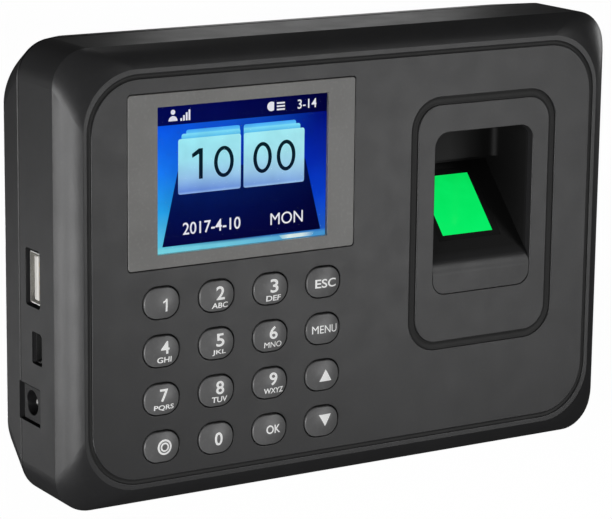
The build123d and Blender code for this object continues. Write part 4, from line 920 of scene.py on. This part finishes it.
# painted light: the print glows faintly, so that it looks brighter than its lighting makes it
glowing_legend.set(Emission_Color=(1, 1, 1, 1), Emission_Strength=0.22)
PRINT_PROUD = 0.03 * MM
PRINT_SUNK = 0.04 * MM
PRINT_CUT = 0.35 * MM
PRINT_BOLD = 0.015
# further in front of the panel than any key stands
OUT_IN_FRONT = 20 * MM
# (text, x, z, width, height) of each line, in mm from the key's centre
LEGENDS = {
    "key_2": [("2", 0.72, 0.80, 2.45, 3.45), ("ABC", 0.65, -2.35, 4.6, 1.45)],
    "key_3": [("3", 0.72, 0.85, 2.35, 3.45), ("DEF", 0.60, -2.30, 4.3, 1.45)],
    "key_escape": [("ESC", 0.40, -0.20, 6.2, 2.3)],
    "key_4": [("4", 0.65, 1.00, 2.45, 3.2), ("GHI", 0.50, -2.10, 4.1, 1.5)],
    "key_5": [("5", 0.70, 1.00, 2.35, 3.3), ("JKL", 0.45, -2.20, 3.9, 1.5)],
    "key_6": [("6", 0.60, 1.00, 2.35, 3.3), ("MNO", 0.55, -2.10, 5.1, 1.5)],
    "key_menu": [("MENU", 0.30, 0.00, 7.4, 2.05)],
    "key_7": [("7", 0.40, 1.10, 2.35, 3.2), ("PQRS", 0.40, -2.10, 5.6, 1.5)],
    "key_8": [("8", 0.70, 0.95, 2.35, 3.4), ("TUV", 0.65, -2.10, 4.5, 1.5)],
    "key_9": [("9", 0.70, 1.15, 2.35, 3.3), ("WXYZ", 0.85, -1.90, 5.8, 1.45)],
    "key_0": [("0", 0.35, -0.10, 2.25, 3.4)],
    "key_ok": [("OK", 0.80, 0.15, 4.2, 2.25)],
}


def lay_on_key(sheet, key, name):
    """Wraps a flat print, drawn in the panel's plane, onto the key's domed cap."""
    cap = BVHTree.FromObject(nodes[key], bpy.context.evaluated_depsgraph_get())
    for v in sheet.verts:
        start = Vector((v.co.x, FRONT_Y - OUT_IN_FRONT, v.co.z))
        hit = cap.ray_cast(start, Vector((0, 1, 0)))[0]
        v.co.y += hit.y
    return make_piece(name, sheet, glowing_legend, body=key)


def key_middle(key):
    """X and Z of a key's centre."""
    low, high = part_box(key)
    return ((low.x + high.x) / 2, (low.z + high.z) / 2)


def drawn_print(outlines, rings):
    """Flat print from closed outlines and from (outer, inner) ring pairs, small enough to bend."""
    flat = bmesh.new()
    for outline in outlines:
        flat.faces.new([flat.verts.new((x, 0, z)) for x, z in outline])
    for outer, inner in rings:
        a = [flat.verts.new((x, 0, z)) for x, z in outer]
        b = [flat.verts.new((x, 0, z)) for x, z in inner]
        for k in range(len(a)):
            m = (k + 1) % len(a)
            flat.faces.new((a[k], a[m], b[m], b[k]))
    cut_small(flat, PRINT_CUT)
    solid = bmesh.new()
    add_solid(solid, flat, -PRINT_PROUD, PRINT_SUNK)
    flat.free()
    return solid


for key, lines in LEGENDS.items():
    x0, z0 = key_middle(key)
    shape = bmesh.new()
    for text, dx, dz, width, height in lines:
        x, z = x0 + dx * MM, z0 + dz * MM
        half_w, half_h = width / 2 * MM, height / 2 * MM
        box = (x - half_w, z - half_h, x + half_w, z + half_h)
        text_shape(shape, text, box, -PRINT_PROUD, PRINT_SUNK, PRINT_BOLD, PRINT_CUT)
    lay_on_key(shape, key, key + "_legend")

# drawn signs: the arrows, the numeral 1 and the power key's rings, in mm from a point on the key
ARROW = ((-1.85, -1.5), (1.85, -1.5), (0.0, 1.6))
NUMERAL = (
    (0.1, 1.62),
    (0.52, 1.62),
    (0.52, -1.62),
    (0.02, -1.62),
    (0.02, 0.92),
    (-0.72, 0.52),
    (-0.72, 0.98),
    (-0.1, 1.3),
)
POWER_RINGS = ((2.0, 1.5), (1.2, 0.78))


def lay_outline(key, outline, dx, dz, turn=1):
    """Prints one closed outline on a key, upside down where turn is -1."""
    x0, z0 = key_middle(key)
    x, z = x0 + dx * MM, z0 + dz * MM
    placed = [(x + a * MM, z + turn * b * MM) for a, b in outline]
    lay_on_key(drawn_print([placed], []), key, key + "_legend")


lay_outline("key_up", ARROW, 0.65, 0.0)
lay_outline("key_down", ARROW, 0.65, 0.4, turn=-1)
lay_outline("key_1", NUMERAL, 0.75, -0.5)

x0, z0 = key_middle("key_power")
ring_centre = (x0 + 0.5 * MM, z0)
power_rings = [
    [ring_points(ring_centre, radius * MM, radius * MM) for radius in pair] for pair in POWER_RINGS
]
lay_on_key(drawn_print([], power_rings), "key_power", "key_power_legend")


# ---------------------------------------------------------------- studio
def paper(name):
    """Pale translucent studio paper, lit evenly from behind."""
    s = Shader(name)
    s.set(Base_Color=(0, 0, 0, 1), Roughness=1.0, Emission_Strength=1.0)
    s.bsdf.inputs["Specular IOR Level"].default_value = 0.0
    patches = s.remap(s.noise(0.4), 0, 1)
    s.link(s.blend(patches, (0.985, 0.985, 0.985, 1), (1, 1, 1, 1)), s.bsdf.inputs["Emission Color"])
    return s


def stage_piece(name, shape):
    """Floor or backdrop. Neither lights the terminal nor shows in its reflections."""
    mesh = bpy.data.meshes.new(name)
    shape.to_mesh(mesh)
    shape.free()
    piece = bpy.data.objects.new(name, mesh)
    COLLECTION.objects.link(piece)
    piece.data.materials.append(paper(name + "_paper").material)
    piece.visible_diffuse = False
    piece.visible_glossy = False
    piece.visible_shadow = False
    return piece


BOX_DISTANCE = 0.75
BOX_SIZE = 0.17


def around(azimuth, elevation, distance):
    """Point on a sphere round the terminal. Azimuth 0 is in front, positive to the right."""
    a, e = math.radians(azimuth), math.radians(elevation)
    x = distance * math.sin(a) * math.cos(e)
    y = -distance * math.cos(a) * math.cos(e)
    return Vector((x, y, distance * math.sin(e)))


def softbox(name, place, power):
    """Square area light that faces the middle of the frame."""
    light = bpy.data.lights.new(name, "AREA")
    light.shape = "RECTANGLE"
    light.size = BOX_SIZE
    light.size_y = BOX_SIZE
    light.energy = power
    box = bpy.data.objects.new(name, light)
    box.location = place
    box.rotation_mode = "QUATERNION"
    box.rotation_quaternion = place.to_track_quat("Z", "Y")
    box.visible_camera = False
    COLLECTION.objects.link(box)


STAGE_REACH = 9.0
FLOOR_GAP = 0.2 * MM
AMBIENT = 0.03
floor_shape = bmesh.new()
bmesh.ops.create_grid(floor_shape, x_segments=8, y_segments=8, size=STAGE_REACH)
stage_piece("floor", floor_shape).location.z = cad_box[0].z - FLOOR_GAP
dome_shape = bmesh.new()
bmesh.ops.create_uvsphere(dome_shape, u_segments=48, v_segments=24, radius=STAGE_REACH)
stage_piece("backdrop", dome_shape)

# (azimuth, elevation, power) of each softbox: a long low bank at the left front, a bank at
# the right front that reaches upwards, and dim ones that model the sides, the back and the top
SOFTBOXES = (
    (-79, -12, 0.79),
    (-66, -12, 0.20),
    (-53, -12, 0.56),
    (-40, -12, 0.68),
    (-79, 0, 0.52),
    (-66, 0, 0.59),
    (-52, -5, 0.55),
    (24, -9, 0.36),
    (36, -11, 0.27),
    (38, 2, 0.20),
    (36, 15, 0.34),
    (35, 28, 0.40),
    (-130, 0, 0.18),
    (-150, -16, 0.10),
    (148, 12, 0.085),
    (162, -13, 0.9),
    (98, 6, 0.35),
    (150, 72, 0.35),
)
for number, (azimuth, elevation, power) in enumerate(SOFTBOXES):
    softbox(f"softbox_{number}", around(azimuth, elevation, BOX_DISTANCE), power)

world = bpy.data.worlds.new("studio")
world.use_nodes = True
background = world.node_tree.nodes["Background"]
background.inputs["Color"].default_value = (1, 1, 1, 1)
background.inputs["Strength"].default_value = AMBIENT
bpy.context.scene.world = world
bpy.context.scene.view_settings.view_transform = "Standard"
